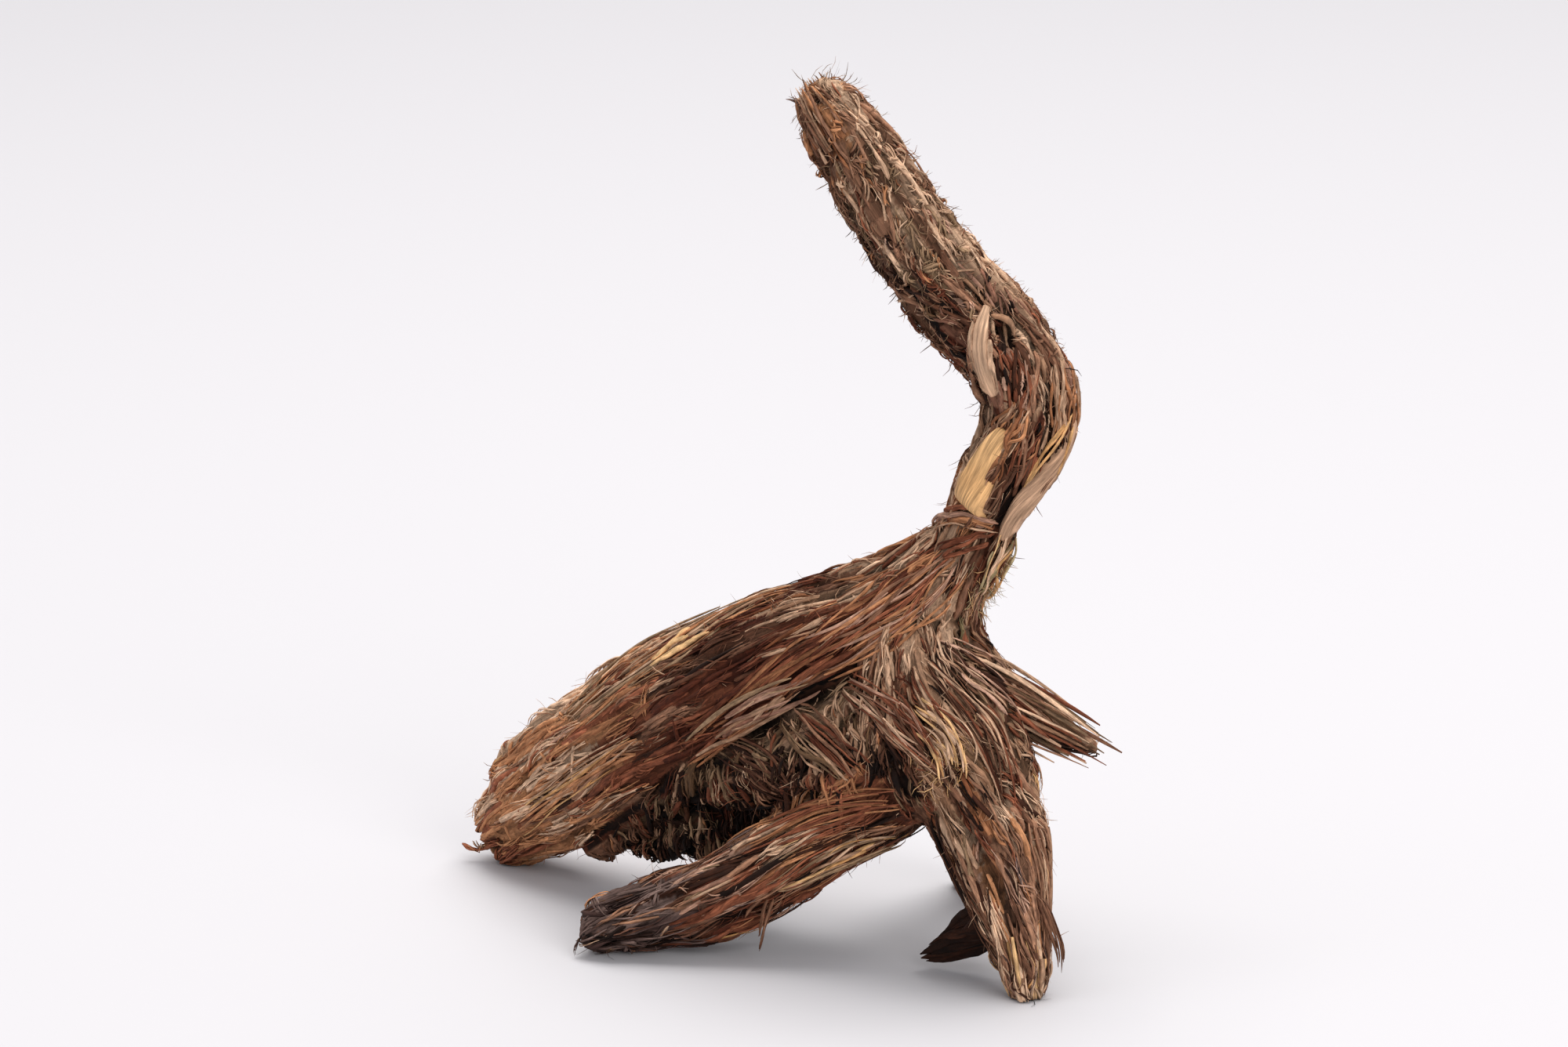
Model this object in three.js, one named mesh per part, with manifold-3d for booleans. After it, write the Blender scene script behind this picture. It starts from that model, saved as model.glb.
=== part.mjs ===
// A dried jatamansi root, in millimetres, +Z up. It stands on the torn ends of its roots, with the
// origin on the floor at the middle of its footprint. It grew as one piece: a bent stem, a long root
// that runs back and down to the left, three short ones that it stands on, and the fibrous sheaths
// of old leaf stalks around them. So it is one closed solid in one mesh.
import * as THREE from "three";
import { mergeVertices } from "three/addons/utils/BufferGeometryUtils.js";
import Module from "manifold-3d";

const wasm = await Module();
wasm.setup();

const limbSides = 12;
const limbSpacing = 3.3; // between the rings of a limb
const lobeHeight = 0.07; // of the bundles in a limb's section, in its radii
const unevenness = 0.05; // of that section, in its radii
const strandSides = 4;
const strandSpacing = 5.2; // between the rings of a strand
const strandRadius = 0.75; // of the fibre bundles that run along a limb
const strandSeat = 0.93; // how far out from a limb's middle a strand lies, in limb radii
const strandWander = 0.25; // how far a strand strays round its limb, in radians
const frayLength = 3.4; // how far the torn fibres at a limb's end reach past it
const frayRadius = 0.55;
const fraySeat = 0.7; // where they leave the end, in end radii
const endBulge = 0.35; // how far a closed end stands out, in end radii
const floorSize = 200; // of the block that is cut off below the floor, to give the feet their flats
const floorDepth = 10;
const middle = { x: -0.39, y: -0.8 }; // of the footprint, in the axes that the stations are given in

// Each limb is a chain of stations [x, y, z, radius]. lobes is how many bundles its section shows,
// twist how far they turn along it, strands how many bundles stand clear of its surface, and frays
// how many torn fibres stand out of its first and last end.
const limbs = {
  trunk: {
    lobes: 5,
    twist: 0.7,
    strands: 13,
    frays: [5, 4],
    stations: [
      [3.2, -2.1, 78.2, 2.9],
      [6.0, -2.4, 74.2, 3.7],
      [9.7, -3.2, 68.2, 4.3],
      [14.5, -4.6, 61.7, 4.4],
      [20.3, -6.6, 56.0, 4.6],
      [21.9, -8.0, 49.9, 4.8],
      [19.3, -9.1, 43.6, 4.4],
      [16.2, -9.6, 37.6, 3.9],
      [13.2, -10.0, 32.0, 5.2],
      [13.0, -11.6, 25.6, 6.9],
      [16.0, -14.4, 19.7, 6.4],
      [18.4, -17.2, 13.7, 5.6],
      [20.3, -20.0, 7.4, 4.4],
      [21.6, -21.8, 3.2, 3.2],
      [22.1, -22.8, 0.2, 2.3],
    ],
  },
  longRoot: {
    lobes: 6,
    twist: 0.3,
    strands: 12,
    frays: [0, 6],
    stations: [
      [18.0, -8.6, 40.6, 2.8],
      [14.0, -8.6, 35.4, 4.4],
      [8.5, -7.2, 31.0, 5.7],
      [1.0, -3.5, 26.2, 6.5],
      [-7.4, 3.5, 19.5, 7.0],
      [-16.5, 10.5, 12.0, 6.2],
      [-23.0, 16.2, 6.2, 4.8],
      [-27.0, 19.8, 2.6, 3.4],
    ],
  },
  sideFoot: {
    lobes: 4,
    twist: 0.3,
    strands: 5,
    frays: [0, 4],
    stations: [
      [13.5, -12.6, 20.5, 4.8],
      [8.7, -11.4, 15.4, 4.3],
      [3.1, -10.8, 12.2, 3.6],
      [-4.6, -10.2, 7.2, 3.4],
      [-12.0, -9.7, 3.4, 2.9],
      [-17.6, -9.4, 1.5, 2.0],
    ],
  },
  backFoot: {
    lobes: 4,
    twist: 0.5,
    strands: 4,
    frays: [0, 3],
    stations: [
      [12.5, -7.6, 30.5, 4.2],
      [14.3, 0.0, 18.7, 3.9],
      [16.7, 7.0, 8.2, 3.2],
      [18.2, 11.2, 0.6, 2.2],
    ],
  },
  belly: {
    lobes: 5,
    twist: 0.6,
    strands: 4,
    frays: [0, 3],
    stations: [
      [11.5, -9.6, 24.5, 6.2],
      [2.4, -6.0, 18.6, 5.6],
      [-6.0, -0.9, 14.6, 4.2],
      [-12.0, 3.6, 10.6, 2.2],
    ],
  },
  sideTuft: {
    lobes: 4,
    twist: 0.2,
    strands: 3,
    frays: [0, 3],
    stations: [
      [12.4, -10.4, 30.0, 3.4],
      [18.2, -11.0, 25.6, 2.7],
      [23.5, -10.8, 22.0, 1.7],
      [27.5, -10.4, 19.8, 0.9],
    ],
  },
};

// Sheaths and splinters that stand out on their own, each a chain of stations.
const sheaths = {
  elbowSliver: [
    [19.2, -10.2, 62.1, 0.3],
    [17.8, -10.8, 59.3, 0.9],
    [17.5, -11.3, 56.3, 0.9],
    [18.2, -11.9, 53.1, 0.7],
    [19.0, -11.6, 50.1, 0.3],
  ],
  bareWood: [
    [23.4, -11.3, 54.8, 0.4],
    [22.5, -12.9, 52.0, 1.4],
    [20.0, -13.4, 47.9, 1.6],
    [17.2, -13.0, 43.2, 1.4],
    [15.5, -12.0, 40.0, 0.6],
  ],
  neckSheath: [
    [25.9, -9.1, 54.8, 0.4],
    [26.7, -10.2, 51.6, 1.0],
    [24.4, -12.2, 46.6, 1.0],
    [20.9, -13.0, 41.4, 1.0],
    [18.3, -12.5, 37.2, 0.9],
    [17.4, -11.3, 33.7, 0.4],
  ],
  topSheath: [
    [6.9, -7.7, 36.7, 0.4],
    [2.4, -4.9, 34.0, 0.7],
    [-3.2, -0.7, 30.7, 0.8],
    [-8.5, 3.2, 26.7, 0.7],
    [-13.3, 7.0, 21.2, 0.4],
  ],
  frontSheath: [
    [13.3, -12.5, 34.8, 0.5],
    [8.0, -12.6, 31.2, 1.4],
    [1.7, -9.6, 26.4, 1.7],
    [-4.6, -4.4, 20.9, 1.6],
    [-10.2, 0.8, 15.9, 0.5],
  ],
  footSheath: [
    [12.5, -13.9, 15.0, 0.5],
    [7.7, -14.0, 13.8, 1.2],
    [1.7, -13.8, 10.9, 1.2],
    [-4.6, -13.3, 7.1, 0.9],
    [-9.1, -12.3, 4.2, 0.4],
  ],
  tuftLow: [
    [16.6, -13.2, 27.0, 0.8],
    [21.5, -12.9, 23.2, 0.8],
    [25.4, -12.4, 20.6, 0.6],
    [28.6, -12.0, 18.8, 0.3],
  ],
  tuftMiddle: [
    [14.2, -10.9, 30.5, 0.8],
    [19.2, -10.6, 27.6, 0.8],
    [25.0, -10.2, 24.3, 0.6],
    [30.4, -9.7, 20.9, 0.3],
  ],
  tuftBack: [
    [12.9, -9.1, 31.3, 0.8],
    [18.5, -8.4, 29.0, 0.8],
    [24.4, -7.4, 25.6, 0.6],
    [29.8, -6.4, 22.2, 0.3],
  ],
  spur: [
    [20.9, -17.8, 9.5, 1.3],
    [18.9, -15.4, 5.5, 1.3],
    [16.1, -12.6, 2.7, 1.0],
    [13.0, -10.2, 0.8, 0.5],
  ],
  footSplinter: [
    [22.3, -20.7, 12.2, 0.6],
    [24.6, -21.9, 8.0, 0.7],
    [25.6, -22.4, 4.5, 0.5],
    [25.4, -22.5, 1.9, 0.3],
  ],
  twig: [
    [-0.9, -11.5, 8.3, 0.6],
    [-1.8, -11.3, 4.6, 0.5],
    [-2.4, -10.6, 2.3, 0.4],
    [-3.0, -9.8, 1.0, 0.25],
  ],
};

// The same numbers on every run, from 0 to 1.
let seed = 11;
function random() {
  seed = (seed * 16807) % 2147483647;
  return seed / 2147483647;
}

// The centreline of a chain of stations, with the radius and a frame at any share of its length.
function lineOf(stations, spacing) {
  const curve = new THREE.CatmullRomCurve3(stations.map(([x, y, z]) => new THREE.Vector3(x, y, z)));
  const steps = Math.max(2, Math.round(curve.getLength() / spacing));
  const frames = curve.computeFrenetFrames(steps);
  const radiusAt = (share) => {
    const place = curve.getUtoTmapping(share) * (stations.length - 1);
    const before = Math.min(Math.floor(place), stations.length - 2);
    return THREE.MathUtils.lerp(stations[before][3], stations[before + 1][3], place - before);
  };
  return { curve, steps, frames, radiusAt };
}

// A point at an angle round ring i of a line, at a distance from its centre.
function pointRound(line, i, angle, distance) {
  return line.curve
    .getPointAt(i / line.steps)
    .addScaledVector(line.frames.normals[i], Math.cos(angle) * distance)
    .addScaledVector(line.frames.binormals[i], Math.sin(angle) * distance);
}

// A closed tube along a line. shape(angle, share) scales the radius, and both ends close to a point.
function tube(line, sides, shape = () => 1) {
  const points = [];
  const faces = [];
  for (let i = 0; i <= line.steps; i++) {
    const share = i / line.steps;
    for (let j = 0; j < sides; j++) {
      const angle = (j / sides) * 2 * Math.PI;
      points.push(pointRound(line, i, angle, line.radiusAt(share) * shape(angle, share)));
    }
  }
  for (let i = 0; i < line.steps; i++) {
    for (let j = 0; j < sides; j++) {
      const next = (j + 1) % sides;
      const [a, b] = [i * sides + j, i * sides + next];
      faces.push(a, b, b + sides, a, b + sides, a + sides);
    }
  }
  const last = line.steps * sides;
  const start = points.length;
  const end = start + 1;
  for (const [i, way] of [[0, -1], [line.steps, 1]]) {
    const reach = way * endBulge * line.radiusAt(i / line.steps);
    points.push(pointRound(line, i, 0, 0).addScaledVector(line.frames.tangents[i], reach));
  }
  for (let j = 0; j < sides; j++) {
    const next = (j + 1) % sides;
    faces.push(start, next, j, end, last + j, last + next);
  }
  const geometry = new THREE.BufferGeometry().setFromPoints(points);
  geometry.setIndex(faces);
  return solidOf(geometry);
}

// A geometry as a solid that can be joined and cut.
function solidOf(geometry) {
  const bare = geometry.clone();
  bare.deleteAttribute("normal");
  bare.deleteAttribute("uv");
  const merged = mergeVertices(bare, 1e-4);
  return new wasm.Manifold(
    new wasm.Mesh({
      numProp: 3,
      vertProperties: new Float32Array(merged.attributes.position.array),
      triVerts: new Uint32Array(merged.index.array),
    }),
  );
}

// The body of a limb: a tube whose section shows the bundles of fibres that it is made of.
function limbBody({ stations, lobes, twist }) {
  return tube(lineOf(stations, limbSpacing), limbSides, (angle, share) => {
    const turned = angle + twist * share * 2 * Math.PI;
    const lobed = lobeHeight * Math.cos(lobes * turned);
    return 1 + lobed + unevenness * Math.sin((lobes - 2) * angle + 7 * share);
  });
}

// The bundles that stand half out of a limb's surface, spaced unevenly round and along it.
function limbStrands({ stations, strands, twist }) {
  const line = lineOf(stations, strandSpacing);
  return Array.from({ length: strands }, (_, n) => {
    const angle = ((n + 0.6 * random()) / strands) * 2 * Math.PI;
    const first = Math.floor(random() * 0.35 * line.steps);
    const count = Math.max(4, Math.round((0.45 + 0.3 * random()) * line.steps));
    const lastRing = Math.min(first + count, line.steps - 1);
    const path = [];
    for (let i = first; i <= lastRing; i++) {
      const along = (i - first) / (lastRing - first);
      const around = angle + twist * (i / line.steps) + strandWander * Math.sin(5 * along + n);
      const limbRadius = line.radiusAt(i / line.steps);
      const point = pointRound(line, i, around, strandSeat * limbRadius);
      const swell = Math.sqrt(Math.sin(Math.PI * (0.06 + 0.88 * along)));
      const thickness = Math.min(strandRadius * (0.8 + 0.5 * random()), 0.3 * limbRadius);
      path.push([point.x, point.y, point.z, thickness * swell]);
    }
    return tube(lineOf(path, strandSpacing), strandSides);
  });
}

// The torn fibres at a limb's ends: each starts inside the limb and leans outwards past the end.
function limbFrays({ stations, frays }) {
  const line = lineOf(stations, strandSpacing);
  const ends = [
    { ring: 0, way: -1, count: frays[0] },
    { ring: line.steps, way: 1, count: frays[1] },
  ];
  return ends.flatMap(({ ring, way, count }) =>
    Array.from({ length: count }, (_, n) => {
      const angle = ((n + 0.5 * random()) / count) * 2 * Math.PI;
      const endRadius = line.radiusAt(ring / line.steps);
      const reach = frayLength * (0.4 + 0.8 * random());
      const lean = 0.75 + 0.35 * random();
      const path = [
        [-frayLength, fraySeat, 1],
        [0, fraySeat, 1],
        [reach, lean, 0.4],
      ].map(([past, out, share]) => {
        const point = pointRound(line, ring, angle, out * endRadius);
        point.addScaledVector(line.frames.tangents[ring], way * past);
        return [point.x, point.y, point.z, share * Math.min(frayRadius, 0.45 * endRadius)];
      });
      return tube(lineOf(path, strandSpacing), strandSides);
    }),
  );
}

const pieces = [
  ...Object.values(limbs).map(limbBody),
  ...Object.values(limbs).flatMap(limbStrands),
  ...Object.values(limbs).flatMap(limbFrays),
  ...Object.values(sheaths).map((stations) => tube(lineOf(stations, strandSpacing), strandSides)),
];
const underFloor = new THREE.BoxGeometry(floorSize, floorSize, floorDepth);
underFloor.translate(0, 0, -floorDepth / 2);
const joined = pieces
  .reduce((whole, piece) => whole.add(piece))
  .subtract(solidOf(underFloor));
// The outer skin alone: pockets that the strands close off inside it are filled.
const skin = joined.decompose().reduce((a, b) => (b.volume() > a.volume() ? b : a));

const mesh = skin.getMesh();
const geometry = new THREE.BufferGeometry();
geometry.setAttribute("position", new THREE.BufferAttribute(mesh.vertProperties, 3));
geometry.setIndex(new THREE.BufferAttribute(mesh.triVerts, 1));
geometry.translate(-middle.x, -middle.y, 0);
geometry.computeVertexNormals();

const fibre = new THREE.MeshStandardMaterial({ color: 0x6b4632, roughness: 0.9, metalness: 0 });
const rhizome = new THREE.Mesh(geometry, fibre);
rhizome.name = "rhizome";

const part = new THREE.Group();
part.add(rhizome);
export default part;
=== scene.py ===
import math

import bmesh
import bpy
import numpy as np
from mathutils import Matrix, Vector, noise
from mathutils.bvhtree import BVHTree


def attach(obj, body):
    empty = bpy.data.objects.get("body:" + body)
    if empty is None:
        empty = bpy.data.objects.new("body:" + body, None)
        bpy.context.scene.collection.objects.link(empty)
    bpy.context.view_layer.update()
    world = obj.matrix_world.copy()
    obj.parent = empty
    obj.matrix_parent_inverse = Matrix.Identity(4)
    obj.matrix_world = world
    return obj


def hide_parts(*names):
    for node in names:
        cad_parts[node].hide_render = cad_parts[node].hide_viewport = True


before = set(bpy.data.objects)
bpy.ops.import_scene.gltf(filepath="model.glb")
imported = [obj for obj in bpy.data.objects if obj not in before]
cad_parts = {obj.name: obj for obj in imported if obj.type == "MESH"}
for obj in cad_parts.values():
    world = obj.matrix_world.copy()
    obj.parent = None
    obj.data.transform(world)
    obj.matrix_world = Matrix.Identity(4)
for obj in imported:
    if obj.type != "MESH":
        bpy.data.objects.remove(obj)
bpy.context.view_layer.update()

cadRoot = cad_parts["rhizome"]
mm = 0.001
rng = np.random.default_rng(21)

# The middle lines of the limbs in mm, in the solid's own axes: x, y, z and the radius under the
# loose bark, in growing order
footprintMiddle = (-0.39, -0.8)
limbs = {
    "trunk": [
        (3.2, -2.1, 78.2, 2.9), (6.0, -2.4, 74.2, 3.7), (9.7, -3.2, 68.2, 4.2),
        (14.4, -4.6, 61.8, 4.3), (20.0, -6.6, 56.1, 4.3), (21.6, -8.0, 50.0, 4.3),
        (18.5, -9.1, 43.6, 3.7), (15.6, -9.6, 37.6, 3.3), (12.8, -10.0, 32.0, 4.6),
        (13.0, -11.6, 25.6, 6.6), (16.0, -14.4, 19.7, 6.0), (18.5, -17.2, 13.7, 4.9),
        (20.3, -20.0, 7.4, 3.3), (21.1, -21.8, 3.2, 2.3), (21.4, -22.8, 0.2, 1.5),
    ],
    "longRoot": [
        (18.0, -8.6, 40.6, 2.8), (14.0, -8.6, 35.4, 4.4), (8.5, -7.2, 31.0, 5.7),
        (1.0, -3.5, 26.2, 6.5), (-7.4, 3.5, 19.5, 7.0), (-16.5, 10.5, 12.0, 6.2),
        (-23.0, 16.2, 6.2, 4.8), (-27.0, 19.8, 2.6, 3.4),
    ],
    "sideFoot": [
        (13.5, -12.6, 20.5, 4.8), (8.7, -11.4, 15.4, 4.3), (3.1, -10.8, 12.2, 3.6),
        (-4.6, -10.2, 7.2, 3.4), (-12.0, -9.7, 3.4, 2.9), (-17.6, -9.4, 1.5, 2.0),
    ],
    "backFoot": [
        (12.5, -7.6, 30.5, 4.2), (14.3, 0.0, 18.7, 3.9), (16.7, 7.0, 8.2, 3.2),
        (18.2, 11.2, 0.6, 2.2),
    ],
    "belly": [
        (11.5, -9.6, 24.5, 6.2), (2.4, -6.0, 18.6, 5.6), (-6.0, -0.9, 14.6, 4.2),
        (-12.0, 3.6, 10.6, 2.2), (-17.5, 8.6, 5.6, 1.3),
    ],
    "sideTuft": [
        (12.4, -10.4, 30.0, 3.4), (18.2, -11.0, 25.6, 2.7), (23.5, -10.8, 22.0, 1.7),
        (27.5, -10.4, 19.8, 0.9),
    ],
}

# Every strip has a tone, which is a place on one ramp: a family of colours, and a shade within it
toneFamilies = {
    # painted shade: a near-black brown that stands for the shade in crevices, gaps and sides that
    # lie in shadow
    "crevice": ((16, 7, 4), (64, 35, 22)),
    "umber": ((80, 48, 33), (162, 119, 93)),
    "russet": ((70, 31, 18), (150, 90, 64)),
    "olive": ((78, 54, 35), (160, 130, 101)),
    "tan": ((138, 101, 76), (214, 178, 148)),
    "straw": ((176, 128, 80), (232, 190, 138)),
    "ember": ((108, 62, 38), (190, 134, 94)),
    "rose": ((118, 78, 61), (206, 165, 141)),
    "moss": ((84, 70, 46), (190, 170, 130)),
    "ash": ((58, 39, 35), (124, 102, 94)),
}
familyNames = list(toneFamilies)


tilt = math.radians(15)  # of the plane that some strands are drawn on
sideways = (0.3, 0.9, 0.1)  # roughly, where a limb's section starts
curveSteps = 12  # between two stations
atOnce = 3000  # points that are measured together


def inFrame(stations):
    # stations in mm from the solid's own axes to metres in the frame
    line = np.array(stations, float)
    if line.shape[1] == 3:
        # drawn on the tilted plane
        x, up, radius = line.T
        line = np.stack([x, up * math.sin(tilt), up * math.cos(tilt), radius], axis=1)
    line[:, :2] -= footprintMiddle
    return line * mm


away = np.array([0, -math.cos(tilt), math.sin(tilt)])  # towards the eye from the tilted plane


def onPlane(vectors):
    # the part of each vector that lies on the tilted plane
    return vectors - np.outer(vectors @ away, away)


def unit(vectors):
    return vectors / np.maximum(np.linalg.norm(vectors, axis=-1, keepdims=True), 1e-12)


def wayOf(lines):
    # the direction along a line, or along each of many
    return unit(np.gradient(lines, axis=-2))


def square(vectors, normals):
    # the part of each vector that lies at right angles to the normal there, at length 1
    return unit(vectors - normals * (vectors * normals).sum(axis=-1, keepdims=True))


def turnedBy(angle, ahead, side):
    # directions turned from ahead towards side
    return np.cos(angle)[..., None] * ahead + np.sin(angle)[..., None] * side


def smoothLine(stations, count):
    # count points in the frame at even steps along a smooth curve through the stations
    line = inFrame(stations)
    padded = np.vstack([2 * line[0] - line[1], line, 2 * line[-1] - line[-2]])
    t = np.linspace(0, 1, curveSteps, endpoint=False)[:, None]
    dense = []
    for a, b, c, d in zip(padded, padded[1:], padded[2:], padded[3:]):
        bend = 2 * b + (c - a) * t + (2 * a - 5 * b + 4 * c - d) * t**2
        dense.append(0.5 * (bend + (3 * b - a - 3 * c + d) * t**3))
    dense = np.vstack(dense + [line[-1:]])
    steps = np.linalg.norm(np.diff(dense[:, :3], axis=0), axis=1)
    length = np.concatenate([[0], np.cumsum(steps)])
    wanted = np.linspace(0, length[-1], count)
    return np.stack([np.interp(wanted, length, column) for column in dense.T], axis=1), length[-1]


def gapsTo(points, centres, radii):
    # batch by batch: the points' numbers, and how they lie from each centre and clear its radius
    for rows in np.array_split(np.arange(len(points)), max(1, len(points) // atOnce)):
        span = points[rows][:, None] - centres
        yield rows, span, np.linalg.norm(span, axis=2) - radii


def noiseAt(places):
    # smooth noise of about -1 to 1 at each row
    return np.array([noise.noise(Vector(row)) for row in places.tolist()])


patches = {
    # how far a patch of one family reaches, across the grain and along it, in mm
    "colour": (1.4, 17.0),
    "strength": 3.2,
    "turn": 6.5,  # how far fibres turn the same way, in mm
    # painted light and shade: families that faces turned up have more or less of, and faces turned
    # down the opposite, so that tops are painted lighter and undersides darker
    "paintedTopFamilies": {"tan": 2.2, "olive": 1.7, "straw": 0.8, "crevice": -1.8, "russet": -0.7},
    "shade": (1.3, 5.0),
    "shadeDepth": 0.7,
    # painted light and shade: how much lighter the shade of faces turned up is painted, and darker
    # that of faces turned down
    "paintedTopShade": 0.22,
}
# set one noise apart from another
apart = {"family": 17.3, "shade": 5.5, "turn": 3.1}
limbRows = 60
zoneBlend = 8  # how often neighbouring rows are evened out where two zones meet
softness = 1.3 * mm  # over what distance the grain of one limb gives way to another's

# How the fibres lie and what they are coloured, along each limb: up to that share of its length,
# how far they lean from the limb's own direction and how much they vary, both in degrees, what
# share lies across, how rough the bark is, how light, and how much of each family it has
zones = {
    "trunk": [
        (0.07, 0, 24, 0.4, 1.2, 0.16, {"ember": 6, "tan": 1, "umber": 2}),
        (0.25, 0, 20, 0.42, 1, 0.08, {"umber": 5, "olive": 2, "tan": 3, "rose": 1.2, "russet": 1,
         "crevice": 0.6}),
        (0.4, 0, 14, 0.22, 1.3, -0.24, {"umber": 4, "rose": 1.5, "russet": 2, "crevice": 1.4,
         "tan": 1.4}),
        (0.52, 0, 6, 0.05, 0.8, -0.1, {"tan": 1.8, "ember": 3, "russet": 1.5, "umber": 2,
         "crevice": 0.7}),
        (0.66, 0, 12, 0.12, 1.1, -0.02, {"russet": 3.5, "rose": 1.5, "umber": 2.5, "moss": 0.5,
         "tan": 2}),
        (0.8, 28, 20, 0.25, 1.5, -0.32, {"tan": 2.2, "umber": 3, "olive": 1.5, "straw": 0.4,
         "crevice": 3, "russet": 2.2}),
        (0.96, 3, 6, 0.05, 0.9, 0.25, {"umber": 4, "tan": 4, "rose": 1, "ember": 2}),
        (1, 0, 8, 0.05, 1, 0.2, {"tan": 4, "straw": 3, "umber": 2.5}),
    ],
    "longRoot": [
        (0.25, 0, 7, 0.06, 0.8, 0.02, {"russet": 4, "rose": 0.5, "ember": 1.5, "umber": 1.5,
         "tan": 1, "crevice": 0.8}),
        (0.51, 0, 6, 0.04, 0.7, -0.46, {"russet": 6, "umber": 1.5, "crevice": 0.6, "ember": 0.6,
         "tan": 0.2}),
        (0.66, 0, 7, 0.06, 0.7, 0.1, {"russet": 4, "ember": 2.5, "umber": 1.6, "tan": 0.8,
         "crevice": 0.8}),
        (0.85, 0, 8, 0.1, 0.7, 0.62, {"russet": 1.5, "ember": 5, "umber": 1.4, "tan": 1.6,
         "crevice": 0.3}),
        (1, 0, 10, 0.12, 0.9, 0.62, {"ember": 5, "tan": 2, "russet": 1, "straw": 0.4}),
    ],
    "sideFoot": [
        (0.5, 0, 7, 0.06, 0.8, 0.24, {"russet": 4, "ember": 2.5, "umber": 2, "tan": 1,
         "crevice": 0.8}),
        (0.78, 0, 8, 0.08, 0.9, 0.16, {"umber": 3, "russet": 3, "rose": 1, "ash": 1, "crevice": 1}),
        (1, 0, 18, 0.2, 1, -0.1, {"ash": 8, "crevice": 1.5, "umber": 0.5}),
    ],
    "backFoot": [
        (1, 0, 9, 0.1, 1, 0, {"umber": 5, "olive": 2, "russet": 2, "crevice": 2}),
    ],
    "belly": [
        (1, 66, 20, 0.2, 1.2, -0.14, {"crevice": 2, "olive": 3.5, "umber": 3, "russet": 1.8,
         "tan": 1.2}),
    ],
    "sideTuft": [
        (1, 0, 5, 0.04, 1, 0.1, {"tan": 3, "umber": 4, "olive": 1.5, "crevice": 1.2}),
    ],
}


class Grain:
    # the way that fibres take anywhere near the limbs, and what the bark is like there

    def __init__(self):
        self.names = list(limbs)
        rows, kinds = [], []
        for index, name in enumerate(self.names):
            line, length = smoothLine(limbs[name], limbRows)
            way = wayOf(line[:, :3])
            side = unit(np.cross(way[0], sideways))
            for step in range(len(line)):
                side = square(side, way[step])
                share = step / (len(line) - 1)
                rows.append([*line[step], *way[step], *side, index, share, share * length])
                zone = next(zone for zone in zones[name] if share <= zone[0] + 1e-9)
                weights = [zone[6].get(family, 0) for family in familyNames]
                kinds.append([math.radians(zone[1]), math.radians(zone[2]), *zone[3:6], *weights])
        table, kinds = np.array(rows), np.array(kinds).reshape(len(limbs), limbRows, -1)
        kinds = smoothed(kinds, zoneBlend).reshape(len(table), -1)
        self.centre, self.radius = table[:, :3], table[:, 3]
        self.way, self.side = table[:, 4:7], table[:, 7:10]
        self.limb, self.share, self.run = table[:, 10].astype(int), table[:, 11], table[:, 12]
        self.lean, self.turn, self.crossing, self.rough, self.light = kinds[:, :5].T
        self.weights = np.log(np.maximum(kinds[:, 5:], 1e-6))

    def at(self, points):
        # the grain's direction and the number of the nearest row, for each point
        ways, nearest = [], []
        for _, _, gap in gapsTo(points, self.centre, self.radius):
            weight = np.exp((gap.min(axis=1, keepdims=True) - gap) / softness)
            ways.append(unit(weight @ self.way))
            nearest.append(gap.argmin(axis=1))
        return np.vstack(ways), np.concatenate(nearest)

    def place(self, points, near):
        # where each point lies in its limb's section and how far along it, in mm
        out = points - self.centre[near]
        across = (out * self.side[near]).sum(axis=1)
        up = (out * np.cross(self.way[near], self.side[near])).sum(axis=1)
        return np.stack([across, up, self.run[near]], axis=1) / mm

    def looksAt(self, points, near, facing, mixing=0.5):
        # a family number and a shade for each point; both gather in patches along the grain, and
        # mixing blurs where one family gives way to the next. Both also carry painted light and
        # shade: faces turned up are painted lighter, faces turned down darker
        place = self.place(points, near)
        wide, long = patches["colour"]
        scaled = place / (wide, wide, long)
        kinds = [noiseAt(scaled + apart["family"] * n) for n in range(len(familyNames))]
        scores = self.weights[near] + patches["strength"] * np.stack(kinds, axis=1)
        # painted light and shade: paler families on faces turned up, darker ones on faces turned
        # down
        for family, amount in patches["paintedTopFamilies"].items():
            scores[:, familyNames.index(family)] += amount * facing[:, 2]
        scores += mixing * rng.gumbel(size=scores.shape)
        wide, long = patches["shade"]
        depth = noiseAt(place / (wide, wide, long) + apart["shade"])
        shade = self.light[near] + patches["shadeDepth"] * depth
        # painted light and shade: faces turned up lighter, faces turned down darker
        shade = shade + patches["paintedTopShade"] * facing[:, 2]
        return scores.argmax(axis=1), shade


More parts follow.
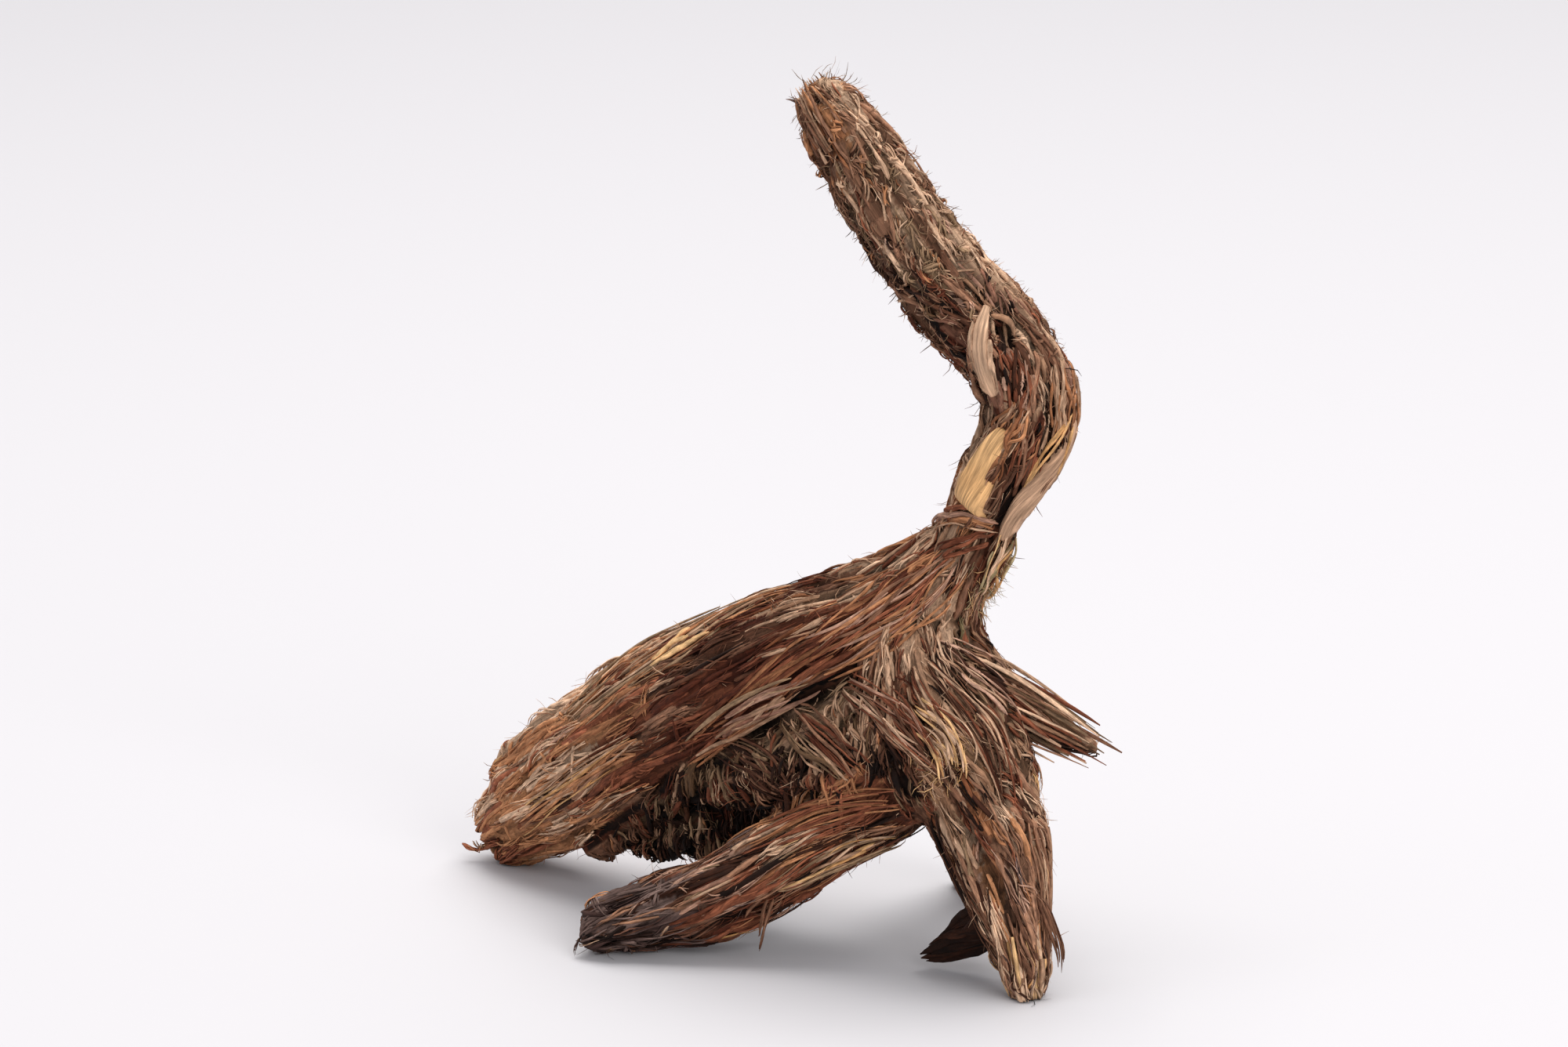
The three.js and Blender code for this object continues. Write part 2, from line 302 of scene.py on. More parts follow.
class Skin:
    # a surface that fibres are laid on

    def __init__(self, mesh):
        self.points = pointsOf(mesh)
        mesh.calc_loop_triangles()
        self.faces = np.empty(len(mesh.loop_triangles) * 3, int)
        mesh.loop_triangles.foreach_get("vertices", self.faces)
        self.faces = self.faces.reshape(-1, 3)
        corners = self.points[self.faces]
        flat = np.cross(corners[:, 1] - corners[:, 0], corners[:, 2] - corners[:, 0])
        self.area = np.linalg.norm(flat, axis=1) / 2
        self.normals = np.zeros_like(self.points)
        for corner in range(3):
            np.add.at(self.normals, self.faces[:, corner], flat)
        self.normals = unit(self.normals)
        self.tree = BVHTree.FromPolygons(self.points.tolist(), self.faces.tolist())

    def scatter(self, count, around=None):
        # random points all over the surface, or within a distance of a point
        chance = self.area
        if around is not None:
            gap = np.linalg.norm(self.points[self.faces[:, 0]] - around[:3], axis=1)
            chance = chance * np.clip(1.3 - gap / around[3], 0, 1)
        face = rng.choice(len(self.faces), count, p=chance / chance.sum())
        share = np.sort(rng.random((count, 2)), axis=1)
        share = np.stack([share[:, 0], share[:, 1] - share[:, 0], 1 - share[:, 1]], axis=1)
        corners = self.faces[face]
        return (
            (self.points[corners] * share[:, :, None]).sum(axis=1),
            unit((self.normals[corners] * share[:, :, None]).sum(axis=1)),
        )

    def cast(self, lines, way):
        # the first points on the surface that way; one that misses goes as deep as the next ones
        reach = [self.tree.ray_cast(point, way)[3] for point in lines.reshape(-1, 3).tolist()]
        reach = np.array(reach, float).reshape(lines.shape[:2])
        for row in reach:
            hit, every = ~np.isnan(row), np.arange(len(row))
            row[:] = np.interp(every, every[hit], row[hit]) if hit.any() else 0
        return self.drop(lines + np.array(way) * reach[..., None])

    def drop(self, points):
        # the nearest points on the surface and the normals there
        hits = [self.tree.find_nearest(point) for point in points.reshape(-1, 3).tolist()]
        on = np.array([hit[0] for hit in hits])
        corners = self.faces[[hit[2] for hit in hits]]
        gap = np.linalg.norm(self.points[corners] - on[:, None], axis=2)
        share = 1 / np.maximum(gap, 1e-7)
        share /= share.sum(axis=1, keepdims=True)
        normals = unit((self.normals[corners] * share[:, :, None]).sum(axis=1))
        return on.reshape(points.shape), normals.reshape(points.shape)


def evenMesh(piece, voxel, smoothing):
    # gives the piece small even faces
    remesh = piece.modifiers.new("even faces", "REMESH")
    remesh.mode = "VOXEL"
    remesh.voxel_size = voxel
    smooth = piece.modifiers.new("smooth", "SMOOTH")
    smooth.iterations = smoothing
    bpy.context.view_layer.update()
    shaped = piece.evaluated_get(bpy.context.evaluated_depsgraph_get())
    mesh = bpy.data.meshes.new_from_object(shaped)
    piece.modifiers.clear()
    piece.data = mesh
    mesh.materials.clear()


def pointsOf(mesh):
    points = np.empty(len(mesh.vertices) * 3)
    mesh.vertices.foreach_get("co", points)
    return points.reshape(-1, 3)


def movePoints(mesh, points):
    mesh.vertices.foreach_set("co", points.ravel())
    mesh.update()


class Wire:
    # a node's output that can stand in a sum

    def __init__(self, graph, socket):
        self.graph, self.socket = graph, socket

    def mix(self, operation, other, swap=False):
        pair = (other, self) if swap else (self, other)
        return self.graph.add("ShaderNodeMath", {"operation": operation}, pair)

    def __add__(self, other):
        return self.mix("ADD", other)

    def __rsub__(self, other):
        return self.mix("SUBTRACT", other, swap=True)

    def __mul__(self, other):
        return self.mix("MULTIPLY", other)

    def __pow__(self, other):
        return self.mix("POWER", other)

    __radd__ = __add__
    __rmul__ = __mul__


class Graph:
    # one material's nodes

    def __init__(self, name):
        self.material = bpy.data.materials.new(name)
        self.material.use_nodes = True
        self.tree = self.material.node_tree
        self.tree.nodes.clear()

    def add(self, kind, settings=None, sockets=(), output=0):
        # settings go first, because they change which sockets there are
        node = self.tree.nodes.new(kind)
        for key, value in (settings or {}).items():
            if key == "stops":
                self.setRamp(node.color_ramp, value)
            else:
                setattr(node, key, value)
        pairs = sockets.items() if isinstance(sockets, dict) else enumerate(sockets)
        for key, value in pairs:
            if isinstance(value, Wire):
                self.tree.links.new(value.socket, node.inputs[key])
            else:
                node.inputs[key].default_value = value
        return Wire(self, node.outputs[output]) if node.outputs else None

    def setRamp(self, ramp, stops):
        while len(ramp.elements) < len(stops):
            ramp.elements.new(1)
        for element, (place, colour) in zip(ramp.elements, stops):
            element.position = place
            element.color = (*colour, 1)

    def attribute(self, name, output="Fac"):
        return self.add("ShaderNodeAttribute", {"attribute_name": name}, output=output)

    def tint(self, colour, factor):
        # a colour made lighter or darker by a value
        grey = self.add("ShaderNodeCombineColor", {}, (factor, factor, factor))
        settings = {"data_type": "RGBA", "blend_type": "MULTIPLY", "clamp_result": False}
        return self.add("ShaderNodeMix", settings, {0: 1.0, 6: colour, 7: grey}, output=2)

    def finish(self, **sockets):
        sockets = {name.replace("_", " "): value for name, value in sockets.items()}
        shader = self.add("ShaderNodeBsdfPrincipled", {}, sockets)
        self.add("ShaderNodeOutputMaterial", {}, {"Surface": shader})
        return self.material

    def addBump(self, height, strength, distance):
        sockets = {"Height": height, "Strength": strength, "Distance": distance}
        return self.add("ShaderNodeBump", {}, sockets)


def linear(colour):
    # an sRGB colour of 0 to 255 as the shader takes it
    share = np.array(colour) / 255
    low, high = share / 12.92, ((share + 0.055) / 1.055) ** 2.4
    return tuple(float(v) for v in np.where(share <= 0.04045, low, high))


def toneRamp():
    stops = []
    for index, (dark, light) in enumerate(toneFamilies.values()):
        start, end = index / len(toneFamilies), (index + 1) / len(toneFamilies)
        stops += [(start + 0.001, linear(dark)), (end - 0.001, linear(light))]
    return stops


toneMargin = 0.06  # keeps a tone clear of the next family's colours


def toneOf(family, shade):
    # family as a number; the shade goes from 0, dark, to 1, light
    return (family + toneMargin + (1 - 2 * toneMargin) * np.clip(shade, 0, 1)) / len(toneFamilies)


def colourOf(family, shade):
    # the colour that a family has at that shade
    ends = np.array([[linear(dark), linear(light)] for dark, light in toneFamilies.values()])
    shade = np.clip(shade, 0, 1)[:, None]
    return ends[family, 0] * (1 - shade) + ends[family, 1] * shade


# How rough each material is, how much it shines, and how strongly its streaks stand out
looks = {
    "bark fibre": {"roughness": 0.75, "shine": 0.15, "relief": 0.9, "depth": 0.2 * mm},
    "pale wood": {"roughness": 0.6, "shine": 0.15, "relief": 0.6, "depth": 0.2 * mm},
    "furrowed bark": {"roughness": 0.85, "shine": 0.12, "relief": 0.9, "depth": 0.3 * mm},
}
streaks = {
    "noise": {"Scale": 1.0, "Detail": 4.0, "Roughness": 0.65},
    "contrast": 2.0,
    "darkest": 0.2,
    "lighter": 3.4,  # what the lightest streaks add to that
    "roughness": 0.2,  # by how much it varies
}
paintedFurrowShade = 0.9  # painted shade: how much darker the deepest furrows and pits are painted


def grainStreaks(graph):
    # fine streaks along the grain, and how light they make it
    sockets = {"Vector": graph.attribute("grain", output="Vector"), **streaks["noise"]}
    streak = graph.add("ShaderNodeTexNoise", {}, sockets, output="Fac")
    return streak, streak ** streaks["contrast"] * streaks["lighter"] + streaks["darkest"]


def fibreMaterial(name):
    graph, look = Graph(name), looks[name]
    base = graph.add("ShaderNodeValToRGB", {"stops": toneRamp()}, (graph.attribute("tone"),))
    streak, light = grainStreaks(graph)
    uneven = streaks["roughness"]
    return graph.finish(
        Base_Color=graph.tint(base, light),
        Roughness=streak * uneven + (look["roughness"] - uneven / 2),
        Specular_IOR_Level=look["shine"],
        Normal=graph.addBump(streak, look["relief"], look["depth"]),
    )


def coreMaterial(name):
    graph, look = Graph(name), looks[name]
    colour = graph.attribute("colour", output="Color")
    furrow = 1 - graph.attribute("height")
    streak, light = grainStreaks(graph)
    return graph.finish(
        # painted shade: the bark is painted darker the deeper it lies in its furrows and pits
        Base_Color=graph.tint(colour, light * (1 - furrow * paintedFurrowShade)),
        Roughness=look["roughness"],
        Specular_IOR_Level=look["shine"],
        Normal=graph.addBump(streak, look["relief"], look["depth"]),
    )


def addObject(name, data):
    thing = bpy.data.objects.new(name, data)
    bpy.context.scene.collection.objects.link(thing)
    return thing


def store(mesh, name, kind, key, values):
    # one value for each point, for the material
    mesh.attributes.new(name, kind, "POINT").data.foreach_set(key, values.ravel())


def register(piece, material, slot="fibrous_bark"):
    piece.data.materials.append(material)
    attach(piece, "root")


# A strip's section: its corners as shares of the half width, to the side, and of the height
fineFibre = [(-1, 0), (0, 1), (1, 0)]
slimStrip = [(-0.9, -1.4), (-0.75, 0.6), (0, 0.9), (0.7, 0.7), (0.9, -1.4)]
barkStrip = [(-0.9, -1.4), (-1, 0), (-0.5, 0.85), (-0.05, 0.45), (0.45, 1), (1, -0.1), (0.9, -1.4)]
broadStrap = [(-0.98, -4), (-1, -0.4), (-0.8, 0.4), (-0.45, 0.75), (0, 0.9), (0.4, 0.8), (0.8, 0.5),
              (1, -0.3), (0.98, -4)]
strip = {
    "lowest": 0.12 * mm,  # above the floor
    "streaks": (4.0, 0.8),  # how fast the grain changes across a strip and along it, per mm
    "strapStreaks": 0.3,  # how much of that is left along a single broad strap
    "apart": (900, 1.7),  # one strip's streaks from another's
    "chart": (0.002, 0.02, 0.98),  # half its width on the colour chart, and its ends there
}


def strips(name, paths, normals, halfWidths, heights, tones, profile, relief=None, bare=False):
    # Closed strips along paths, all in one mesh. relief raises single corners, in metres.
    count, rings = paths.shape[:2]
    sides = len(profile)
    across = np.array([corner[0] for corner in profile])
    up = np.array([corner[1] for corner in profile])
    side = unit(np.cross(wayOf(paths), normals))
    raised = heights[:, :, None] * up
    if relief is not None:
        raised = raised + relief
    points = (
        paths[:, :, None]
        + side[:, :, None] * (halfWidths[:, :, None] * across)[..., None]
        + normals[:, :, None] * raised[..., None]
    )
    points[..., 2] = np.maximum(points[..., 2], strip["lowest"])
    number = np.arange(count * rings * sides).reshape(count, rings, sides)
    a, b = number[:, :-1], np.roll(number, -1, axis=2)[:, :-1]
    c, d = np.roll(number, -1, axis=2)[:, 1:], number[:, 1:]
    quads = np.stack([a, b, c, d], axis=-1).reshape(-1, 4)
    starts, ends = number[:, 0, ::-1], number[:, -1]
    corners = np.concatenate([quads.ravel(), starts.ravel(), ends.ravel()])
    sizes = np.concatenate([np.full(len(quads), 4), np.full(2 * count, sides)])
    mesh = bpy.data.meshes.new(name)
    mesh.vertices.add(number.size)
    mesh.vertices.foreach_set("co", points.ravel())
    mesh.loops.add(len(corners))
    mesh.loops.foreach_set("vertex_index", corners)
    mesh.polygons.add(len(sizes))
    mesh.polygons.foreach_set("loop_start", np.concatenate([[0], np.cumsum(sizes)[:-1]]))
    toneHere = np.broadcast_to(np.asarray(tones).reshape(count, -1)[:, :, None], number.shape)
    store(mesh, "tone", "FLOAT", "value", toneHere)
    steps = np.linalg.norm(np.diff(paths, axis=1), axis=2) / mm
    along = np.concatenate([np.zeros((count, 1)), np.cumsum(steps, axis=1)], axis=1)
    wide, long = strip["streaks"]
    stretch = strip["strapStreaks"] if count == 1 else 1
    far, further = strip["apart"]
    offset = rng.uniform(0, far, (count, 1, 1))
    grained = np.stack(
        [
            halfWidths[:, :, None] / mm * across * wide + offset,
            np.broadcast_to(along[:, :, None] * long * stretch, number.shape),
            np.broadcast_to(offset * further, number.shape),
        ],
        axis=-1,
    )
    store(mesh, "grain", "FLOAT_VECTOR", "vector", grained)
    chartWidth, chartStart, chartEnd = strip["chart"]
    spread = np.broadcast_to(np.linspace(-1, 1, sides) * chartWidth, number.shape)
    share = np.broadcast_to(np.linspace(chartStart, chartEnd, rings)[None, :, None], number.shape)
    chart = np.stack([toneHere + spread, share], axis=-1).reshape(-1, 2)
    mesh.uv_layers.new(name="OFBake").data.foreach_set("uv", chart[corners].ravel())
    mesh.update(calc_edges=True)
    mesh.shade_smooth()
    print(name, sum(sizes - 2), "triangles")
    finish = (paleWood, "bare_wood") if bare else (barkFibre, "fibrous_bark")
    register(addObject(name, mesh), *finish)


tracing = {
    "headOn": 0.75,  # how squarely the grain meets the surface at the end of a limb
    "freeStep": 0.3,  # of a step, once a path has left the bark
    "freeDip": 0.15,  # inwards, of a step
    "leap": (0.5, 0.2),  # the furthest the bark may be, as a share of a step and in mm
}


def endsOn(ways, normals):
    # whether the grain meets the surface head on, as it does at the end of a limb
    return np.abs((ways * normals).sum(axis=1)) > tracing["headOn"]


def trace(points, normals, lengths, turns, wander, rings):
    # Paths that start at points and follow the grain over the skin, each turned by an angle and by
    # as much as its neighbours wander, in radians. Past the end of a limb a path goes on freely.
    step = (lengths / (rings - 1))[:, None]
    paths, sides = [points], [normals]
    free = np.zeros(len(points), bool)
    way = None
    for _ in range(rings - 1):
        flow = grain.at(points)[0]
        free |= endsOn(flow, normals)
        flow = square(flow, normals)
        angle = turns + wander * noiseAt(points / (patches["turn"] * mm) + apart["turn"])
        turned = turnedBy(angle, flow, np.cross(normals, flow))
        way = turned if way is None else np.where(free[:, None], way, turned)
        ahead = points + way * step * np.where(free, tracing["freeStep"], 1)[:, None]
        ahead -= normals * step * np.where(free, tracing["freeDip"], 0)[:, None]
        on, up = skin.drop(ahead)
        share, rest = tracing["leap"]
        free |= np.linalg.norm(on - ahead, axis=1) > share * step[:, 0] + rest * mm
        points = np.where(free[:, None], ahead, on)
        normals = np.where(free[:, None], normals, up)
        paths.append(points)
        sides.append(normals)
    return np.stack(paths, axis=1), np.stack(sides, axis=1)


def resample(values, first, last, rings):
    # values between two shares of each path, at rings even steps
    count, old = values.shape[:2]
    share = first[:, None] + (last - first)[:, None] * np.linspace(0, 1, rings)
    place = np.clip(share * (old - 1), 0, old - 1.0001)
    low = place.astype(int)
    part = (place - low)[..., None]
    row = np.arange(count)[:, None]
    return values[row, low] * (1 - part) + values[row, low + 1] * part


def trimmed(paths, normals, kind, rings):
    # a stretch of each path, between two random shares of it
    first, last = (rng.uniform(*kind[end], len(paths)) for end in ("starts", "ends"))
    return resample(paths, first, last, rings), unit(resample(normals, first, last, rings))


def taper(rings, start=0.6, end=0.35, reach=0.15, power=0.7):
    # how wide a strip is along its length
    share = np.linspace(0, 1, rings)
    rise = start + (1 - start) * np.minimum(1, share / reach) ** power
    fall = end + (1 - end) * np.minimum(1, (1 - share) / reach) ** power
    return np.minimum(rise, fall)


def smoothed(values, times=2):
    # evened out along the second axis
    for _ in range(times):
        padded = np.concatenate([values[:, :1], values, values[:, -1:]], axis=1)
        values = (padded[:, :-2] + 2 * padded[:, 1:-1] + padded[:, 2:]) / 4
    return values


def unevenEdges(count, rings, amount):
    return np.clip(1 + amount * smoothed(rng.normal(size=(count, rings)), 1), 0.5, 1.5)


def cutWidths(width, rings, uneven, *ends):
    # half widths along strips that have uneven edges and narrow ends
    return width * unevenEdges(len(width), rings, uneven) * taper(rings, *ends)


def ridges(heights, profile, times=2):
    # uneven tops for sections whose first and last corners lie deep
    relief = smoothed(rng.normal(size=(*heights.shape, len(profile))), times)
    relief[:, :, [0, -1]] = 0
    return relief * heights[:, :, None] * 0.5


scattering = {
    "tries": 8,  # points for each path, of which those on other limbs are left out
    "wander": 1.7,
    "turn": 0.3,
    "crossing": 1.3,  # the widest angle of a path that lies across the grain, in radians
    "crossingLength": 0.6,
    "shortest": 0.5,  # of the length that a path should have
}


def pathsOn(wanted, count, length, rings):
    # paths along the grain from scattered points on those limbs, with each one's family and shade
    points, normals = skin.scatter(count * scattering["tries"])
    ways, near = grain.at(points)
    keep = np.zeros(len(points), bool)
    for name, (first, last) in wanted.items():
        share = grain.share[near]
        keep |= (grain.limb[near] == grain.names.index(name)) & (share >= first) & (share <= last)
    keep = np.flatnonzero(keep & ~endsOn(ways, normals))[:count]
    points, normals, near = points[keep], normals[keep], near[keep]
    wander = grain.turn[near] * scattering["wander"]
    turns = wander * scattering["turn"] * rng.normal(size=len(points))
    crossing = rng.random(len(points)) < grain.crossing[near]
    widest = scattering["crossing"]
    turns = np.where(crossing, rng.uniform(-widest, widest, len(points)), turns) + grain.lean[near]
    lengths = rng.uniform(*length, len(points))
    lengths = lengths * np.where(crossing, scattering["crossingLength"], 1) * mm
    paths, sides = trace(points, normals, lengths, turns, wander, rings)
    # those that run off an end almost at once would be stubs
    reached = np.linalg.norm(np.diff(paths, axis=1), axis=2).sum(axis=1)
    whole = reached > scattering["shortest"] * lengths
    paths, sides, crossing = paths[whole], sides[whole], crossing[whole]
    middle = paths[:, rings // 2]
    families, shade = grain.looksAt(middle, grain.at(middle)[1], sides[:, rings // 2])
    return paths, sides, families, shade, crossing


def layRibbons(name, wanted, count, halfWidth, length):
    # strips of bark, ridged along their length, some with an end that peels off
    rings = ribbons["rings"]
    paths, sides, families, shade, crossing = pathsOn(wanted, count, length, rings)
    count = len(paths)
    up = unit(smoothed(sides))
    width = rng.uniform(*halfWidth, count) * np.where(crossing, ribbons["crossingWidth"], 1) * mm
    halfWidths = width[:, None] * taper(rings) * unevenEdges(count, rings, ribbons["uneven"])
    heights = np.minimum(halfWidths * ribbons["flatness"], ribbons["height"] * mm)
    t = np.linspace(-1, 1, rings)
    peel = (rng.random(count) < ribbons["peeling"]) * rng.uniform(*ribbons["peel"], count)
    lift = rng.uniform(*ribbons["lift"], count)[:, None] * np.sqrt(1 - 0.8 * t**2)
    lift = lift - ribbons["tuck"] * np.abs(t) ** 3
    lift = lift + peel[:, None] * np.maximum(0, t - ribbons["peelFrom"]) ** 1.5
    line = smoothed(paths, 1) + up * (lift * mm)[..., None]
    drift = ribbons["drift"] * smoothed(rng.normal(size=(count, rings)), 2)
    own = ribbons["light"] + shade + rng.uniform(*ribbons["shades"], count)
    tones = toneOf(families[:, None], own[:, None] + drift)
    relief = ridges(heights, slimStrip)
    strips(name, line, up, halfWidths, heights, tones, slimStrip, relief)


def layBundles(name, wanted, count, length):
    # bundles of fibres: each bundle follows one path, and its fibres part a little from it
    paths, sides, families, shade, _ = pathsOn(wanted, count, length, bundles["pathRings"])
    each, rings = bundles["fibresEach"], bundles["rings"]
    total = len(paths) * each
    row = np.repeat(np.arange(len(paths)), each)
    line, up = trimmed(paths[row], sides[row], bundles, rings)
    side = unit(np.cross(wayOf(line), up))
    t = np.linspace(-1, 1, rings)
    across = rng.normal(size=total) * bundles["spread"]
    lean = rng.normal(size=total) * bundles["lean"]
    bow = rng.normal(size=total) * bundles["bow"]
    aside = across[:, None] + lean[:, None] * t + bow[:, None] * t**2
    layer = rng.random(len(paths))[row]
    lift = bundles["lift"] * layer + rng.uniform(0, bundles["pile"], total)
    height = (lift + bundles["sink"])[:, None] * np.sqrt(1 - 0.85 * t**2) - bundles["sink"]
    line = line + side * (aside * mm)[..., None] + up * (height * mm)[..., None]
    low, high = bundles["halfWidth"]
    halfWidths = ((low + (high - low) * rng.random(total) ** 2) * mm)[:, None] * taper(rings)
    odd = rng.random(total) < bundles["odd"]
    family = np.where(odd, families[rng.permutation(len(paths))[row]], families[row])
    drift = bundles["drift"] * smoothed(rng.normal(size=(total, rings)), 1)
    # painted shade: bundles that lie lower are painted darker
    own = bundles["light"] + bundles["paintedLayerShade"] * layer + shade[row]
    own = own + rng.uniform(*bundles["shades"], total)
    tones = toneOf(family[:, None], own[:, None] + drift)
    strips(name, line, up, halfWidths, halfWidths * 0.9, tones, fineFibre)


grain = Grain()

# Flat sheaths of old leaf stalks that swell the bark, in mm as the limbs are
sheaths = [
    [(19.2, -9.6, 62.1, 0.3), (17.8, -10, 59.3, 0.7), (17.5, -10.6, 56.3, 0.7),
     (19, -11, 50.1, 0.3)],
    [(22.5, -12.5, 52, 0.8), (19.6, -12.9, 47.9, 1), (17, -12.6, 43.2, 0.9), (15.5, -12, 40, 0.4)],
    [(25.2, -10.2, 51.6, 0.4), (23.4, -11.8, 46.6, 0.5), (20.2, -12.4, 41.4, 0.6),
     (17.4, -11.3, 33.7, 0.4)],
    [(6.9, -7.7, 36.7, 0.4), (-3.2, -0.7, 30.7, 0.7), (-13.3, 7, 21.2, 0.4)],
    [(13.3, -12.5, 34.8, 0.5), (8, -12.6, 31.2, 1.2), (-4.6, -4.4, 20.9, 1.4),
     (-10.2, 0.8, 15.9, 0.5)],
    [(12.5, -13.9, 15, 0.5), (7.7, -14, 13.8, 1.1), (-4.6, -13.3, 7.1, 0.8),
     (-9.1, -12.3, 4.2, 0.4)],
]

core = {
    "voxel": 0.31 * mm,
    "joinVoxel": 0.5 * mm,  # of the first pass, which makes limbs and fills one body
    "lowest": 0.05 * mm,  # above the floor
    "light": 0.4,
    "streaks": (3.5, 3.5, 0.7),  # how fast the grain changes across it and along it, per mm
    "reach": -0.3 * mm,  # it stays this far inside the limbs, the sheaths and the fills
    # height, width and length in mm
    "furrows": [(1.0, 2.4, 16.0), (0.6, 1.0, 9.0), (0.3, 0.5, 5.0), (0.5, 3.5, 3.5)],
    # stations of swellings on and between the limbs
    "fills": [
        [(12.0, -14.0, 24.5, 4.6), (7.4, -12.6, 20.4, 4.6), (2.4, -9.6, 18.4, 4.0),
         (-3.6, -5.4, 15.6, 3.2)],
        [(14.0, -15.2, 20.0, 4.6), (9.6, -13.4, 17.6, 4.0), (4.6, -11.8, 14.8, 3.2)],
        [(4.0, -11.2, 12.2, 3.7), (-2.6, -10.6, 7.7, 3.7), (-7.1, -10.2, 5.4, 3.7),
         (-12.5, -9.7, 3.7, 3.2), (-17.2, -9.5, 2.5, 2.3)],
        [(-3.5, 0.3, 25.6, 4.6), (-9.8, 5.3, 21.4, 4.9), (-20.0, 13.6, 13.2, 4.5),
         (-24.4, 17.4, 8.4, 4.0)],
        [(4.0, -4.0, 12.8, 3.4), (-3.0, 0.0, 10.0, 3.6), (-9.0, 3.6, 7.9, 3.1),
         (-13.6, 6.9, 6.6, 2.5), (-18.5, 10.4, 4.8, 1.8)],
        [(5.4, -2.4, 75.2, 3.3), (3.6, -2.1, 77.8, 2.9), (3.0, -2.0, 78.9, 1.8)],
    ],
    # across, up, radius and depth, on the same plane as the laid strands, in mm
    "pits": [
        (19.2, 55.6, 0.7, 1.3), (19.2, 54.2, 0.7, 1.6), (19.2, 52.8, 0.6, 1.2),
        (23.4, 55.0, 0.9, 0.9), (1.6, 69.8, 2.4, 1.3), (17.0, 36.3, 0.6, 0.9),
    ],
    "highest": 0.35,  # how far the furrowed bark may rise, in mm
    "depthShown": 0.8,  # how fast the material's height changes, per mm
    "fillRings": 14,
    "fillSides": 16,
    "fillEnd": (0.6, 0.5),  # how far its first and last rings move out and close in, in radii
}


def pullIn(points, reach):
    # points that stand out further than reach from limbs and sheaths, brought to that distance
    lines = [smoothLine(stations, 30)[0] for stations in [*sheaths, *core["fills"]]]
    lines = np.vstack([np.column_stack([grain.centre, grain.radius]), *lines])
    out = np.empty_like(points)
    for rows, span, gap in gapsTo(points, lines[:, :3], lines[:, 3]):
        near = gap.argmin(axis=1)
        spare = np.maximum(gap[np.arange(len(rows)), near] - reach, 0)
        out[rows] = points[rows] - unit(span[np.arange(len(rows)), near]) * spare[:, None]
    return out


def addFills(mesh):
    # closed tubes that become one body with the rest
    shape = bmesh.new()
    shape.from_mesh(mesh)
    for stations in core["fills"]:
        line = smoothLine(stations, core["fillRings"])[0]
        way = wayOf(line[:, :3])
        side = square(np.broadcast_to((0, 0, 1.0), way.shape), way)
        up = np.cross(way, side)
        # the first and last rings close in to round the ends
        line = np.vstack([line[:1], line, line[-1:]])
        way, side, up = (np.vstack([rows[:1], rows, rows[-1:]]) for rows in (way, side, up))
        size = line[:, 3].copy()
        out, close = core["fillEnd"]
        line[0, :3] -= way[0] * size[0] * out
        line[-1, :3] += way[-1] * size[-1] * out
        size[[0, -1]] *= close
        sides = core["fillSides"]
        turn = np.linspace(0, 2 * math.pi, sides, endpoint=False)
        rings = []
        for centre, radius, a, b in zip(line[:, :3], size, side, up):
            circle = centre + radius * turnedBy(turn, a, b)
            rings.append([shape.verts.new(point) for point in circle])
        for first, second in zip(rings, rings[1:]):
            for n in range(sides):
                shape.faces.new((first[n], first[n - 1], second[n - 1], second[n]))
        shape.faces.new(rings[0])
        shape.faces.new(rings[-1][::-1])
    shape.to_mesh(mesh)
    shape.free()


def makeCore():
    # the limbs without their loose strands, furrowed along the grain
    piece = addObject("bark_core", cadRoot.data.copy())
    addFills(piece.data)
    evenMesh(piece, core["joinVoxel"], 0)
    movePoints(piece.data, pullIn(pointsOf(piece.data), core["reach"]))
    evenMesh(piece, core["voxel"], 8)
    points = pointsOf(piece.data)
    up = Skin(piece.data).normals
    near = grain.at(points)[1]
    place = grain.place(points, near)
    height = np.zeros(len(points))
    for tall, wide, long in core["furrows"]:
        height += tall * noiseAt(place / (wide, wide, long) + wide)
    height *= grain.rough[near]
    height = np.minimum(height, core["highest"])
    for x, high, radius, deep in core["pits"]:
        centre = inFrame([(x, high, radius)])[0]
        gap = np.linalg.norm(onPlane(points - centre[:3]), axis=1) / centre[3]
        height -= deep * np.exp(-gap**2) * (up @ away > 0)
    points = points + up * (height * mm)[:, None]
    points[:, 2] = np.maximum(points[:, 2], core["lowest"])
    movePoints(piece.data, points)
    families, shade = grain.looksAt(points, near, up, 0.0)
    colours = np.column_stack([colourOf(families, core["light"] + shade), np.ones(len(points))])
    store(piece.data, "colour", "FLOAT_COLOR", "color", colours)
    # painted shade: where this height is low, in furrows and pits, the material paints the bark
    # darker
    store(piece.data, "height", "FLOAT", "value", np.clip(0.5 + height * core["depthShown"], 0, 1))
    store(piece.data, "grain", "FLOAT_VECTOR", "vector", place * core["streaks"])
    piece.data.shade_smooth()
    register(piece, coreMaterial("furrowed bark"))
    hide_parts("rhizome")
    print("core", 2 * len(piece.data.polygons), "triangles")
    return Skin(piece.data)


skin = makeCore()

barkFibre, paleWood = fibreMaterial("bark fibre"), fibreMaterial("pale wood")

